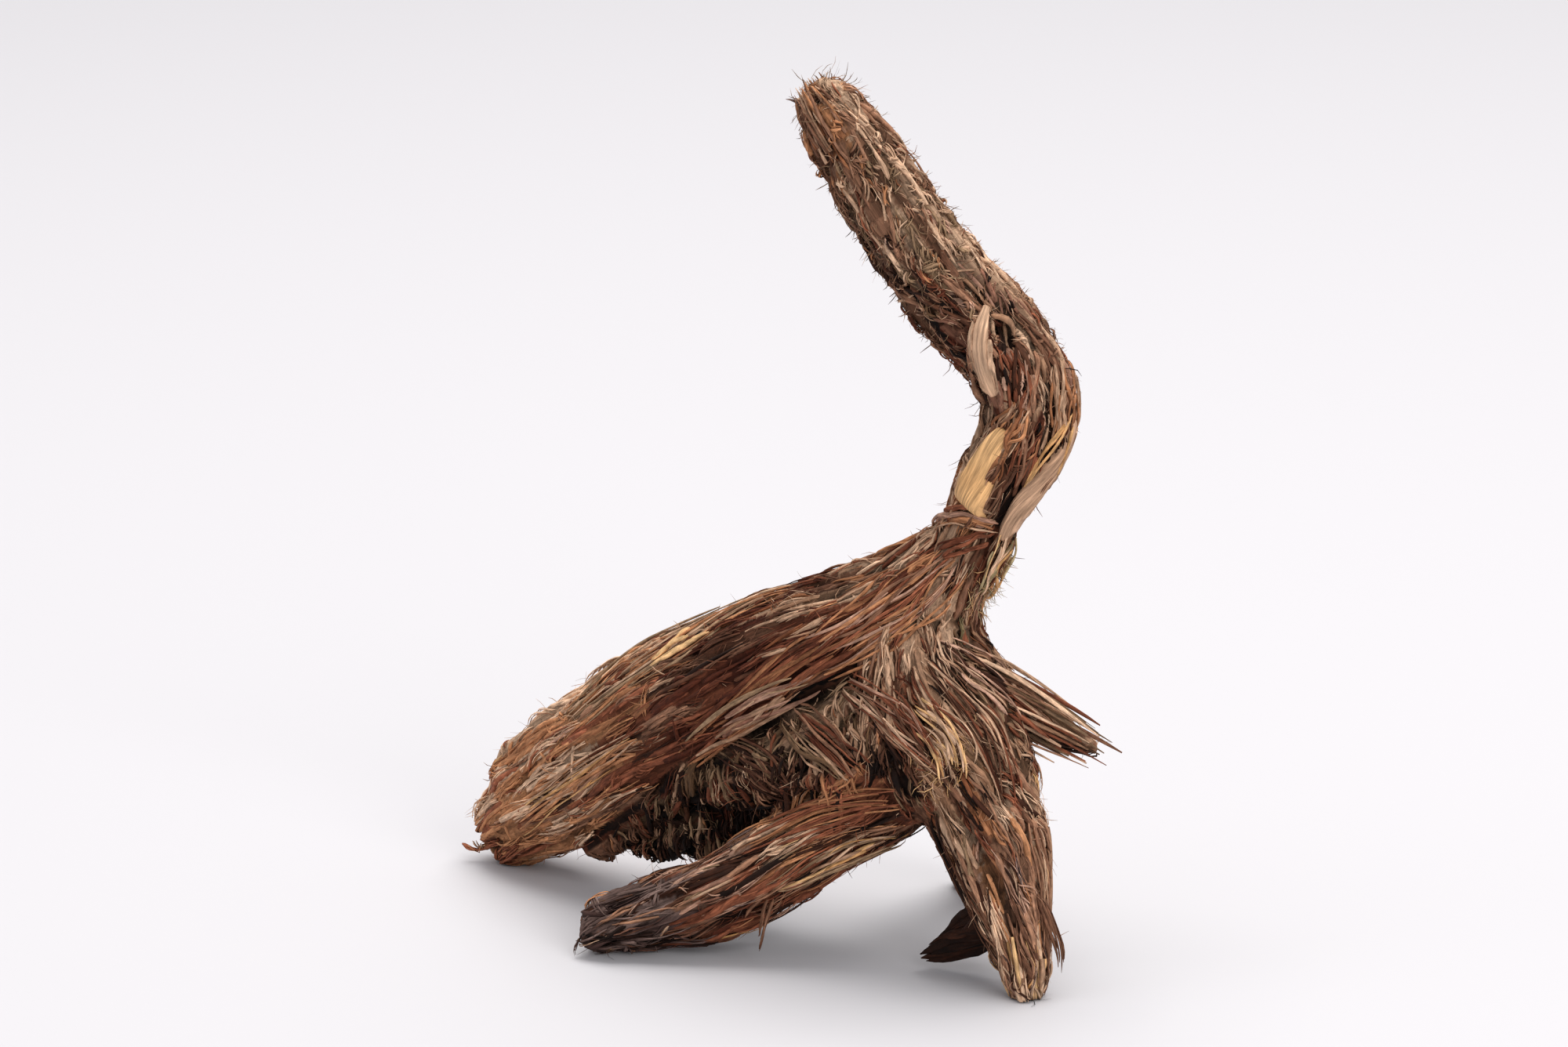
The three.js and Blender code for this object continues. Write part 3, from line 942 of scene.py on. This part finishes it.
ribbons = {
    "rings": 9,
    "height": 0.22,  # at most, in mm, as are the lifts
    "lift": (0, 0.3),
    "tuck": 0.3,  # how far both ends dip into the bark
    "peeling": 0.12,  # the share of strips with an end that peels off
    "peel": (0.4, 1.1),  # how far it does
    "peelFrom": 0.35,  # where that starts, from the middle, 0, to the end, 1
    "crossingWidth": 0.5,
    "uneven": 0.3,
    "flatness": 0.6,
    "light": 0.38,
    "shades": (-0.35, 0.35),
    "drift": 0.15,  # of the shade along a strip
    # where each lies, how many strips, half their width and their length in mm
    "pieces": {
        "stem_bark": [{"trunk": (0, 0.5)}, 420, (0.12, 0.3), (3, 9)],
        "crown_bark": [
            {"trunk": (0.5, 1), "sideTuft": (0, 0.75), "belly": (0, 1)},
            600, (0.12, 0.32), (3, 8),
        ],
        "root_bark": [
            {"longRoot": (0, 1), "sideFoot": (0, 1), "backFoot": (0, 1)},
            760, (0.14, 0.38), (4, 12),
        ],
    },
}
for name, settings in ribbons["pieces"].items():
    layRibbons(name, *settings)

bundles = {
    "fibresEach": 5,
    "pathRings": 8,
    "rings": 6,
    "spread": 0.22,
    "lean": 0.16,
    "bow": 0.1,
    "lift": 0.3,
    "pile": 0.25,
    "sink": 0.15,
    "halfWidth": (0.05, 0.17),
    "starts": (0, 0.35),  # along the bundle's path, for its single fibres
    "ends": (0.6, 1),
    "odd": 0.25,  # the share of fibres in another bundle's colour
    "light": 0.02,
    "paintedLayerShade": 0.4,  # painted shade: how much lighter the topmost bundles are painted, the lower ones darker as if in their shade
    "shades": (-0.15, 0.5),
    "drift": 0.3,
    # where each lies, how many bundles, and their length in mm
    "pieces": {
        "horn_fibres": [{"trunk": (0, 0.32)}, 460, (1.4, 4)],
        "neck_fibres": [{"trunk": (0.32, 0.5)}, 240, (2.5, 6)],
        "crown_fibres": [
            {"trunk": (0.5, 0.82), "sideTuft": (0, 0.8), "belly": (0, 1)}, 760, (2, 6),
        ],
        "foot_fibres": [{"trunk": (0.82, 1), "sideFoot": (0, 1), "backFoot": (0, 1)}, 620, (4, 10)],
        "long_root_fibres": [{"longRoot": (0, 1)}, 580, (3, 8)],
    },
}
for name, settings in bundles["pieces"].items():
    layBundles(name, *settings)


def tonesOf(count, choice, rings):
    # one family for each strand, and a shade that drifts along it, less on a single broad one
    choice = list(choice.items())
    depth = 0.1 if count == 1 else 0.25
    tones = []
    for _ in range(count):
        family, (dark, light) = choice[rng.integers(len(choice))]
        drift = smoothed(rng.normal(size=(1, rings)), 3)[0] * depth
        tones.append(toneOf(familyNames.index(family), rng.uniform(dark, light) + drift))
    return np.array(tones)


# Strands laid on the bark from the front and a little from above: their line on the plane that
# faces that way (across, up and half the breadth of all of them, in mm), how many there are, how
# far they lift off, and their families with the darkest and the lightest shade. A single strand is
# one broad strap.
laid = {
    "bare_wood": (
        [(19.9, 45.9, 0.6), (18.9, 43.9, 1.2), (17.9, 41.9, 1.6), (16.7, 39.5, 1.8),
         (15.9, 37.8, 1.65)],
        1, 0.9, {"straw": (0.34, 0.44)},
    ),
    "wood_edge": (
        [(21.4, 48, 1), (20.2, 45.6, 1.5), (19, 43.4, 1.3)],
        20, 0.3, {"ember": (0.2, 0.8), "tan": (0, 0.3), "umber": (0.2, 0.6)},
    ),
    "elbow_gold": (
        [(24.6, 52.6, 1), (25, 49.2, 1.5), (25, 45.9, 1.4), (23.9, 43.2, 0.9)],
        20, 0.25, {"ember": (0.2, 0.8), "tan": (0, 0.5)},
    ),
    "elbow_middle": (
        [(20.6, 53.6, 1), (21.2, 49.6, 1.6), (20.9, 45.9, 1.3)],
        16, 0.2, {"umber": (0.1, 0.9), "russet": (0.2, 0.8), "crevice": (0.4, 1),
        "rose": (0.3, 0.8)},
    ),
    "neck_gap": (
        [(22.4, 46.6, 0.7), (21.4, 42.1, 0.8), (20, 38.8, 0.6)],
        8, 0.15, {"umber": (0.1, 0.7), "russet": (0.3, 0.9)},
    ),
    "neck_sheath": (
        [(26.3, 47.4, 0.4), (25.2, 44.3, 0.95), (23.2, 41.4, 1.05), (20.5, 37.9, 0.85),
         (18.8, 34.6, 0.4)],
        1, 0.55, {"tan": (0.28, 0.4)},
    ),
    "sheath_edge": (
        [(26.5, 48.2, 0.7), (25.1, 44, 1.2), (22.8, 40.6, 1.2), (19.8, 36.6, 0.9)],
        12, 0.4, {"tan": (0.2, 0.9), "straw": (0.1, 0.4), "umber": (0.3, 0.8)},
    ),
    "elbow_sliver": (
        [(18, 57.2, 0.3), (17.3, 53.8, 0.65), (17.7, 50.8, 0.65), (18.7, 47.8, 0.3)],
        1, 0.55, {"tan": (0.5, 0.65)},
    ),
    # painted shade: near-black strands in the dark slot beside the sliver
    "sliver_gap_painted_shade": (
        [(19.3, 56.6, 0.3), (18.9, 53.6, 0.5), (19.2, 50.2, 0.5), (19.8, 47.8, 0.3)],
        7, 0.3, {"crevice": (0, 0.4)},
    ),
    "sliver_edge": (
        [(18.2, 57.3, 0.4), (17.2, 53.6, 0.8), (17.6, 50.4, 0.8), (19, 47.2, 0.5)],
        5, 0.3, {"umber": (0.4, 1), "tan": (0.1, 0.7)},
    ),
    "neck_wrap": (
        [(12.4, 36.6, 0.7), (14.8, 37.6, 1), (17.4, 37.7, 0.9), (20, 36.2, 0.6)],
        9, 0.5, {"rose": (0.2, 0.7), "tan": (0.1, 0.6), "russet": (0.4, 0.9), "ember": (0.2, 0.8)},
    ),
    "neck_knot": (
        [(13.4, 34, 0.6), (16.4, 35.4, 0.7), (19.2, 36.6, 0.5)],
        6, 0.5, {"russet": (0.1, 0.7), "rose": (0.2, 0.6)},
    ),
    "root_start": (
        [(15.8, 35, 1.3), (11.8, 30.6, 2.5), (7, 27.2, 2.6), (0.8, 23.6, 1.8)],
        34, 0.3, {"russet": (0.5, 1), "ember": (0.3, 1), "rose": (0.2, 0.7), "umber": (0.4, 0.9)},
    ),
    "moss_edge": (
        [(20.3, 36.6, 0.6), (18.8, 33.2, 0.9), (17, 29.9, 0.8)],
        12, 0.6, {"moss": (0.2, 1), "straw": (0.2, 1), "tan": (0.4, 1)},
    ),
    "front_strands": (
        [(13.6, 30.6, 1.1), (8, 28.4, 1.6), (1, 24.8, 1.8), (-5.6, 18.6, 1.7), (-12, 13.4, 1)],
        16, 0.25, {"russet": (0.1, 0.9), "ember": (0, 0.5)},
    ),
    "top_strands": (
        [(3, 32.2, 0.9), (-4, 30, 1.3), (-9.8, 26.6, 1.6), (-16.4, 22, 1.6), (-22.4, 16.8, 1.1)],
        28, 0.3, {"tan": (0.1, 1), "olive": (0.4, 1), "ember": (0.3, 0.9)},
    ),
    "root_gold": (
        [(-26.8, 7.8, 0.8), (-21.8, 11.6, 1.1), (-17, 15, 1.1), (-13, 18, 0.6)],
        18, 0.25, {"ember": (0.5, 1), "straw": (0, 0.5), "tan": (0.2, 0.7)},
    ),
    "cream_strand": (
        [(-6.4, 27.6, 0.3), (-9.8, 25.7, 0.5), (-13.8, 22.9, 0.35)],
        4, 0.5, {"straw": (0.7, 1)},
    ),
    "root_edge": (
        [(-10.4, 15.4, 0.8), (-3.4, 20, 1.3), (4.2, 23.6, 0.9)],
        12, 0.6, {"olive": (0.2, 1), "tan": (0, 0.6), "rose": (0.1, 0.6)},
    ),
    "crossing_strands": (
        [(-0.6, 20.4, 1.2), (3.4, 17.2, 2.2), (7, 13.8, 1.4)],
        22, 0.5, {"tan": (0, 0.6), "olive": (0, 0.6), "umber": (0, 0.5), "russet": (0.1, 0.6)},
    ),
    "crossing_low": (
        [(-6.6, 17.4, 1), (-2.6, 14.8, 1.8), (1.4, 12, 1)],
        20, 0.4, {"olive": (0, 0.5), "umber": (0, 0.4), "crevice": (0.3, 1)},
    ),
    "crossing_high": (
        [(4.2, 23, 1), (7.6, 21.4, 1.7), (11.6, 17.8, 1.7), (14.6, 13.8, 1.1)],
        26, 0.5, {"rose": (0, 0.7), "tan": (0, 0.8), "umber": (0, 0.6), "russet": (0.1, 0.7)},
    ),
    "cream_fall": (
        [(10.4, 20.6, 0.9), (13, 18.8, 1.5), (14.8, 16.2, 1.6), (14.9, 12.6, 1)],
        20, 0.4, {"straw": (0.3, 0.8), "tan": (0.4, 1)},
    ),
    "fan_inner": (
        [(11, 26, 0.8), (13.6, 23.1, 1.3), (17, 19.4, 1.5), (19.2, 15, 1.3), (20.2, 10, 1)],
        22, 0.5, {"tan": (0, 0.7), "umber": (0, 0.7), "russet": (0.2, 0.9), "crevice": (0.4, 1)},
    ),
    "fan_outer": (
        [(12.4, 26.6, 0.7), (16.4, 24, 1.2), (20, 20.8, 1.3), (22, 17, 1)],
        18, 0.5, {"tan": (0, 0.8), "umber": (0, 0.7), "rose": (0.2, 0.8), "crevice": (0.4, 1)},
    ),
    # painted shade: near-black strands down the foot's inner side, which lies in shadow
    "foot_painted_shade": (
        [(12.4, 11.8, 0.9), (13.6, 8.3, 1.4), (15.6, 3.6, 1.4), (17.6, 0, 1), (19.2, -2.6, 0.6)],
        28, 0.25, {"crevice": (0, 0.6), "umber": (0, 0.1)},
    ),
    "foot_edge": (
        [(21.4, 14, 1), (22.6, 8.4, 1.1), (23.4, 2.6, 0.9), (23.2, -3.4, 0.6)],
        14, 0.3, {"umber": (0.2, 0.9), "tan": (0, 0.5)},
    ),
    "side_bark": (
        [(12, 12, 0.9), (6.8, 12, 1.3), (2.2, 10.4, 1.3), (-2.1, 8.2, 1), (-6.4, 6, 0.6)],
        18, 0.3, {"ember": (0, 0.8), "russet": (0.5, 1)},
    ),
    "foot_strands": (
        [(12.4, 8.6, 0.6), (7.5, 8.2, 0.8), (2.4, 5.4, 0.8), (-2.4, 3.2, 0.5)],
        12, 0.5, {"straw": (0, 0.6), "tan": (0.1, 0.8), "olive": (0.4, 1)},
    ),
}

laying = {
    "rings": 24,  # of the line on the bark
    "stripRings": 15,
    "ahead": 90,  # how far in front of the plane the strands start, in mm
    "breadth": 0.9,  # over which their middles are spread, of the line's
    "evened": 10,
    "leap": 0.3,  # how far an evened strand may leave the bark, in mm
    "lift": 0.3,  # the least, in mm; their ends dip into the bark by as much
    "lifts": (0.3, 1),  # of the lift that the table gives
    "starts": (0, 0.45),  # along the line
    "ends": (0.55, 1),
    "width": (0.8, 2.2),  # in shares of the line's breadth
    "flatness": 0.8,
    "strapHeight": 0.35,  # in mm
    # a single broad strap: how straight, how uneven, how often its normals and ridges are evened
    "strap": {"stray": 0, "uneven": 0.06, "normals": 20, "ridges": 30, "profile": broadStrap},
    "strips": {"stray": 0.6, "uneven": 0.25, "normals": 4, "ridges": 3, "profile": barkStrip},
}
frayedEnds = (0.5, 0.3, 0.1)  # how wide the first and the last end is, and how far along they widen


def layStrands(name, line, count, lift, tones):
    # side by side over the bark
    rings, single = laying["rings"], count == 1
    kind = laying["strap" if single else "strips"]
    middle = smoothLine(line, rings)[0]
    centre, radius = middle[:, :3], middle[:, 3]
    side = np.cross(wayOf(centre), away)
    place = np.zeros(1) if single else np.linspace(-1, 1, count)
    place = place[:, None] + smoothed(rng.normal(size=(count, rings)), 6) * kind["stray"]
    aside = side * (place * radius * laying["breadth"])[..., None]
    line = centre + aside + away * laying["ahead"] * mm
    line, normals = skin.cast(line, tuple(-away))
    normals = unit(smoothed(normals, kind["normals"]))
    line = smoothed(line, laying["evened"])
    on = skin.drop(line)[0]
    gap = np.maximum(np.linalg.norm(line - on, axis=2, keepdims=True), 1e-9)
    line = smoothed(on + (line - on) * np.minimum(1, laying["leap"] * mm / gap), 2)
    t = np.abs(np.linspace(-1, 1, rings))
    least = laying["lift"]
    lifts = (least + lift * rng.uniform(*laying["lifts"], (count, 1))) * (1 - t**6) - least * t**8
    if single:
        lifts = lift * (1 - t[None] ** 6)
    line = line + normals * (lifts * mm)[..., None]
    if single:
        halfWidths = radius[None] * unevenEdges(1, rings, kind["uneven"])
        heights = np.full_like(halfWidths, laying["strapHeight"] * mm)
    else:
        # the breadth is trimmed with the line
        breadth = np.broadcast_to(radius, (count, rings))[..., None]
        rings = laying["stripRings"]
        line, normals = trimmed(np.concatenate([line, breadth], axis=2), normals, laying, rings)
        line, breadth = line[..., :3], line[..., 3]
        halfWidths = breadth * rng.uniform(*laying["width"], (count, 1)) / count
        halfWidths = cutWidths(halfWidths, rings, kind["uneven"], *frayedEnds)
        heights = halfWidths * laying["flatness"]
    shades = tonesOf(count, tones, rings)
    relief = ridges(heights, kind["profile"], kind["ridges"])
    bare = name == "bare_wood"
    strips(name, line, normals, halfWidths, heights, shades, kind["profile"], relief, bare)


# Strands bound together round their own middle line, in mm as the limbs are
bound = {
    # painted shade: the spur's strands are near-black, as it lies in the shade behind the foot
    "spur": {
        "line": [(19.6, -17.4, 8, 2.3), (17.3, -16, 4.6, 2.2), (14.8, -14.8, 2.5, 1.5),
                 (12.2, -13.8, 1.1, 0.6)],
        "strands": 44, "tones": {"crevice": (0.1, 0.6)},
    },
    "foot_splinter": {
        "line": [(21.6, -20.7, 11.2, 0.6), (23.4, -21.9, 7.6, 0.6), (24.5, -22.4, 4.5, 0.5),
                 (24.6, -22.5, 1.9, 0.3)],
        "strands": 6, "tones": {"umber": (0, 0.5)},
    },
    "horn_prong": {
        "line": [(4.6, -3.2, 74.6, 0.9), (2.6, -2.8, 76.8, 0.8), (0.6, -2.4, 78.4, 0.5),
                 (-0.4, -2.2, 78.6, 0.3)],
        "strands": 7, "tones": {"ash": (0.2, 0.9), "umber": (0, 0.5)},
    },
    "twig": {
        "line": [(-1.4, -13.4, 6.8, 0.6), (-2.1, -14, 4.6, 0.55), (-2.5, -14.2, 2.9, 0.4),
                 (-2.8, -14, 1.4, 0.25)],
        "strands": 4, "tones": {"umber": (0, 0.3)},
    },
}

binding = {
    "rings": 14,
    "twist": 1.2,  # round the middle line, in radians
    "stray": 0.4,
    "depth": (0.3, 0.9),  # where the strands lie, in radii
    "starts": (0, 0.1),
    "ends": (0.7, 1),
    "width": (0.12, 0.34),  # half of it, in radii
    "uneven": 0.25,
    "flatness": 0.6,
}


def bindStrands(name, kind):
    rings, count = binding["rings"], kind["strands"]
    middle = smoothLine(kind["line"], rings)[0]
    centre, radius = middle[:, :3], middle[:, 3]
    way = wayOf(centre)
    up = square(np.broadcast_to((0.1, -0.6, 0.8), way.shape), way)
    side = np.cross(way, up)
    turn = np.arange(count)[:, None] * 2 * math.pi / count + np.linspace(0, binding["twist"], rings)
    turn = turn + smoothed(rng.normal(size=(count, rings)), 5) * binding["stray"]
    normals = turnedBy(turn, up, side)
    line = centre + normals * (radius * rng.uniform(*binding["depth"], (count, 1)))[..., None]
    line, normals = trimmed(line, normals, binding, rings)
    halfWidths = radius * rng.uniform(*binding["width"], (count, 1))
    halfWidths = cutWidths(halfWidths, rings, binding["uneven"], *frayedEnds)
    heights = halfWidths * binding["flatness"]
    tones = tonesOf(count, kind["tones"], rings)
    relief = ridges(heights, barkStrip, 3)
    strips(name, line, normals, halfWidths, heights, tones, barkStrip, relief)


for name, kind in laid.items():
    layStrands(name, *kind)
for name, kind in bound.items():
    bindStrands(name, kind)

# The side tuft's strands: each runs from a point of the first box to one of the second, in mm
tuft = {
    "strands": 110,
    "rings": 14,
    "starts": ((10.5, -16.0, 24.0), (15.5, -8.0, 30.5)),
    "ends": ((26.5, -13.4, 18.0), (31.0, -9.0, 21.6)),
    "shortest": 0.5,  # of the way to the second box
    "halfWidth": (0.08, 0.26),
    "narrowing": (0.8, 0.3, 0.3),  # as frayedEnds gives it
    "uneven": 0.2,
    "flatness": 0.7,
    "bow": 0.5,
    "rise": 0.9,  # how far the strands arch up, in mm
    "tones": {"tan": (0, 0.9), "umber": (0, 0.9), "olive": (0.1, 0.8), "russet": (0.2, 0.9)},
}


def spreadTuft():
    count, rings = tuft["strands"], tuft["rings"]
    # the same share of both boxes, so that the strands fan out side by side
    share = rng.random((count, 3))
    spots = []
    for corners in (tuft["starts"], tuft["ends"]):
        low, high = inFrame([(*corner, 0) for corner in corners])[:, :3]
        spots.append(low + (high - low) * share)
    first, last = spots
    last = first + (last - first) * rng.uniform(tuft["shortest"], 1, (count, 1))
    t = np.linspace(0, 1, rings)[None, :, None]
    line = first[:, None] * (1 - t) + last[:, None] * t
    bow = smoothed(rng.normal(size=(count, rings, 3)), 12) * tuft["bow"] * mm
    line = line + bow + np.array([0, 0, tuft["rise"] * mm]) * np.sin(t * math.pi)
    normals = square(np.broadcast_to((0.2, -0.8, 0.5), line.shape), wayOf(line))
    width = rng.uniform(*tuft["halfWidth"], (count, 1)) * mm
    halfWidths = cutWidths(width, rings, tuft["uneven"], *tuft["narrowing"])
    heights = halfWidths * tuft["flatness"]
    relief = ridges(heights, barkStrip, 3)
    tones = tonesOf(count, tuft["tones"], rings)
    strips("tuft", line, normals, halfWidths, heights, tones, barkStrip, relief)


spreadTuft()

# The torn ends of limbs: which end it is, how many splinters it has, how far back they start, how
# far they reach past it and how broad they are, in mm
tornEnds = {
    "horn_splinters": (
        "trunk", 0, 170, (2, 5), (-0.8, 2), (0.07, 0.22), ["ember", "umber", "umber", "tan"],
    ),
    "foot_splinters": (
        "trunk", 1, 60, (2, 7), (-1.8, 0.1), (0.1, 0.26), ["tan", "straw", "umber"],
    ),
    "root_splinters": (
        "longRoot", 1, 90, (2, 6), (-3.2, -1.4), (0.08, 0.26), ["ember", "tan", "russet"],
    ),
    "side_splinters": (
        "sideFoot", 1, 40, (2, 5), (-3, -1.6), (0.08, 0.2), ["ash", "umber", "ash"],
    ),
    "back_splinters": (
        "backFoot", 1, 50, (2, 6), (-1.2, 0.2), (0.08, 0.25), ["umber", "olive", "tan"],
    ),
}
tearing = {
    "rows": 120,  # along the limb, of which the last tell where its end points
    "lastRows": 12,
    "rings": 7,
    "depth": (0.25, 1),  # from the middle of the limb to its skin
    "closing": (0.4, 1.05),  # how far in a splinter's tip leans
    # waves of the rim: how high in mm, how many, and where they start
    "rim": [(0.6, 2, 1), (0.4, 5, 0), (0.5, 1, -0.6)],
    "bow": 0.25,
    "bulge": 0.35,
    "narrowing": (0.9, 0.25, 0.3),  # as frayedEnds gives it
    "uneven": 0.25,
    "flatness": 0.6,
    "shades": (0.1, 0.95),
}


def tearEnd(name, limb, end, count, back, reach, halfWidth, tones):
    rows, rings = tearing["rows"], tearing["rings"]
    line, length = smoothLine(limbs[limb], rows)
    line = line if end else line[::-1]
    way = unit(line[-1, :3] - line[-tearing["lastRows"], :3])
    side = square(np.array(sideways), way)
    up = np.cross(way, side)
    turn = rng.uniform(0, 2 * math.pi, count)
    out = turnedBy(turn, side, up)
    depth = np.sqrt(rng.uniform(*tearing["depth"], count))
    start = line[-1 - (rng.uniform(*back, count) * mm / length * (rows - 1)).astype(int)]
    first = start[:, :3] + out * (start[:, 3] * depth)[:, None]
    # the rim reaches further on one side, in tongues
    rim = sum(much * np.sin(turn * times + shift) for much, times, shift in tearing["rim"])
    past = (rng.uniform(*reach, count) + rim) * mm
    closing = rng.uniform(*tearing["closing"], count)
    last = line[-1, :3] + out * (line[-1, 3] * depth * closing)[:, None]
    last = last + way * past[:, None]
    t = np.linspace(0, 1, rings)[:, None]
    paths = first[:, None] * (1 - t) + last[:, None] * t
    bow = rng.normal(size=(count, 1, 3)) * tearing["bow"] * mm
    paths = paths + bow * (t * t) + out[:, None] * (tearing["bulge"] * mm * np.sin(t * 3))
    width = rng.uniform(*halfWidth, count)[:, None] * mm
    halfWidths = cutWidths(width, rings, tearing["uneven"], *tearing["narrowing"])
    heights = halfWidths * tearing["flatness"]
    families = rng.choice([familyNames.index(tone) for tone in tones], count)
    shades = toneOf(families, rng.uniform(*tearing["shades"], count))
    normals = np.repeat(out[:, None], rings, axis=1)
    relief = ridges(heights, slimStrip)
    strips(name, paths, normals, halfWidths, heights, shades, slimStrip, relief)


for name, tear in tornEnds.items():
    tearEnd(name, *tear)

# Single hairs that stand out of the bark: how many, how long in mm, how steeply they rise, and
# where: up to that share of a limb, or about a place and within a distance of it in mm
hairs = {
    "stray_hairs": {"count": 2600, "length": (0.7, 2.8), "rise": (0, 0.45), "tones": None},
    "horn_fuzz": {
        "count": 3200, "length": (0.4, 1.4), "rise": (0.3, 1.6), "tones": ["olive", "tan", "umber"],
        "limb": ("trunk", 0.36),
    },
    "tip_hairs": {
        "count": 60, "length": (1, 2.8), "rise": (0.8, 2), "tones": ["umber", "olive"],
        "around": (3.2, -2.1, 78.6, 3.6),
    },
    "green_clump": {
        "count": 160, "length": (1, 2.6), "rise": (0.2, 0.9), "tones": ["moss", "straw", "tan"],
        "around": (17.6, -11.0, 35.6, 2.6),
    },
    "cream_clump": {
        "count": 160, "length": (0.8, 2.4), "rise": (0, 0.7), "tones": ["straw", "tan"],
        "around": (14.0, -18.0, 21.6, 2.8),
    },
}
hairShape = {
    "rings": 4,
    "halfWidth": (0.018, 0.045),
    "turn": 0.8,  # how far from the grain they point, in radians
    "curl": 0.3,
    "wobble": 0.12,
    "shades": (0.1, 1),
}


def growHairs(name, kind):
    around = inFrame([kind["around"]])[0] if "around" in kind else None
    points, normals = skin.scatter(kind["count"] * (4 if "limb" in kind else 1), around)
    way, near = grain.at(points)
    keep = np.ones(len(points), bool)
    if "limb" in kind:
        limb, last = kind["limb"]
        keep = (grain.limb[near] == grain.names.index(limb)) & (grain.share[near] < last)
    keep = np.flatnonzero(keep)[: kind["count"]]
    points, normals, way, near = points[keep], normals[keep], way[keep], near[keep]
    count = len(points)
    if kind["tones"]:
        families = rng.choice([familyNames.index(tone) for tone in kind["tones"]], count)
    else:
        families = grain.looksAt(points, near, normals)[0]
    rings = hairShape["rings"]
    flow = square(way, normals)
    turn = rng.normal(size=count) * hairShape["turn"]
    heading = turnedBy(turn, flow, np.cross(normals, flow))
    heading = unit(heading + normals * rng.uniform(*kind["rise"], (count, 1)))
    step = (rng.uniform(*kind["length"], count) * mm / (rings - 1))[:, None]
    curl = rng.normal(size=(count, 3)) * hairShape["curl"]
    paths = [points]
    for _ in range(rings - 1):
        points = points + heading * step
        paths.append(points)
        wobble = rng.normal(size=(count, 3)) * hairShape["wobble"]
        heading = unit(heading + curl + wobble)
    line = np.stack(paths, axis=1)
    up = np.repeat(normals[:, None], rings, axis=1)
    width = rng.uniform(*hairShape["halfWidth"], count)[:, None] * mm * taper(rings, 1.0, 0.3)
    tones = toneOf(families, rng.uniform(*hairShape["shades"], count))
    strips(name, line, up, width, width, tones, fineFibre)


for name, kind in hairs.items():
    growHairs(name, kind)


view = {"azimuth": 0, "elevation": 15, "distance": 0.75, "lens": 188, "lookAt": (0, 0, 0.0385)}


def placeCamera():
    camera = addObject("camera", bpy.data.cameras.new("camera"))
    turn, rise = math.radians(view["azimuth"]), math.radians(view["elevation"])
    level = math.cos(rise)
    back = Vector((-math.sin(turn) * level, -math.cos(turn) * level, math.sin(rise)))
    target = Vector(view["lookAt"])
    camera.location = target + back * view["distance"]
    camera.rotation_euler = (-back).to_track_quat("-Z", "Y").to_euler()
    camera.data.lens = view["lens"]
    camera.data.clip_start = 0.01
    bpy.context.scene.camera = camera


lamps = {
    "overhead": {"at": (0.06, 0.2, 0.8), "size": 0.75, "power": 8.9, "colour": (1.0, 0.98, 0.95)},
    "front": {"at": (0.42, -0.68, 0.45), "size": 0.5, "power": 3.8, "colour": (1.0, 0.99, 0.97)},
    "left": {"at": (-0.7, -0.2, 0.4), "size": 0.4, "power": 0.4, "colour": (0.97, 0.98, 1.0)},
}
studio = {
    "lampsAim": (0, 0, 0.03),
    "sky": (0.97, 0.97, 1.0, 1),
    "skyStrength": 0.5,
    "floorSize": 8,
    "floor": (0.565, 0.556, 0.58, 1),
    "floorRoughness": 0.6,
}


def lightStudio():
    for name, lamp in lamps.items():
        data = bpy.data.lights.new(name, "AREA")
        data.size = lamp["size"]
        data.energy = lamp["power"]
        data.color = lamp["colour"]
        light = addObject(name, data)
        light.location = lamp["at"]
        aim = Vector(studio["lampsAim"]) - light.location
        light.rotation_euler = aim.to_track_quat("-Z", "Y").to_euler()
    world = bpy.data.worlds.new("studio")
    world.use_nodes = True
    sky = world.node_tree.nodes["Background"].inputs
    sky["Color"].default_value = studio["sky"]
    sky["Strength"].default_value = studio["skyStrength"]
    bpy.context.scene.world = world
    bpy.context.scene.view_settings.view_transform = "Standard"


def layFloor():
    bpy.ops.mesh.primitive_plane_add(size=studio["floorSize"])
    floor = bpy.context.object
    floor.name = "floor"
    finish = {"Base_Color": studio["floor"], "Roughness": studio["floorRoughness"]}
    floor.data.materials.append(Graph("pale floor").finish(**finish))


placeCamera()
lightStudio()
layFloor()
print("studio ready")
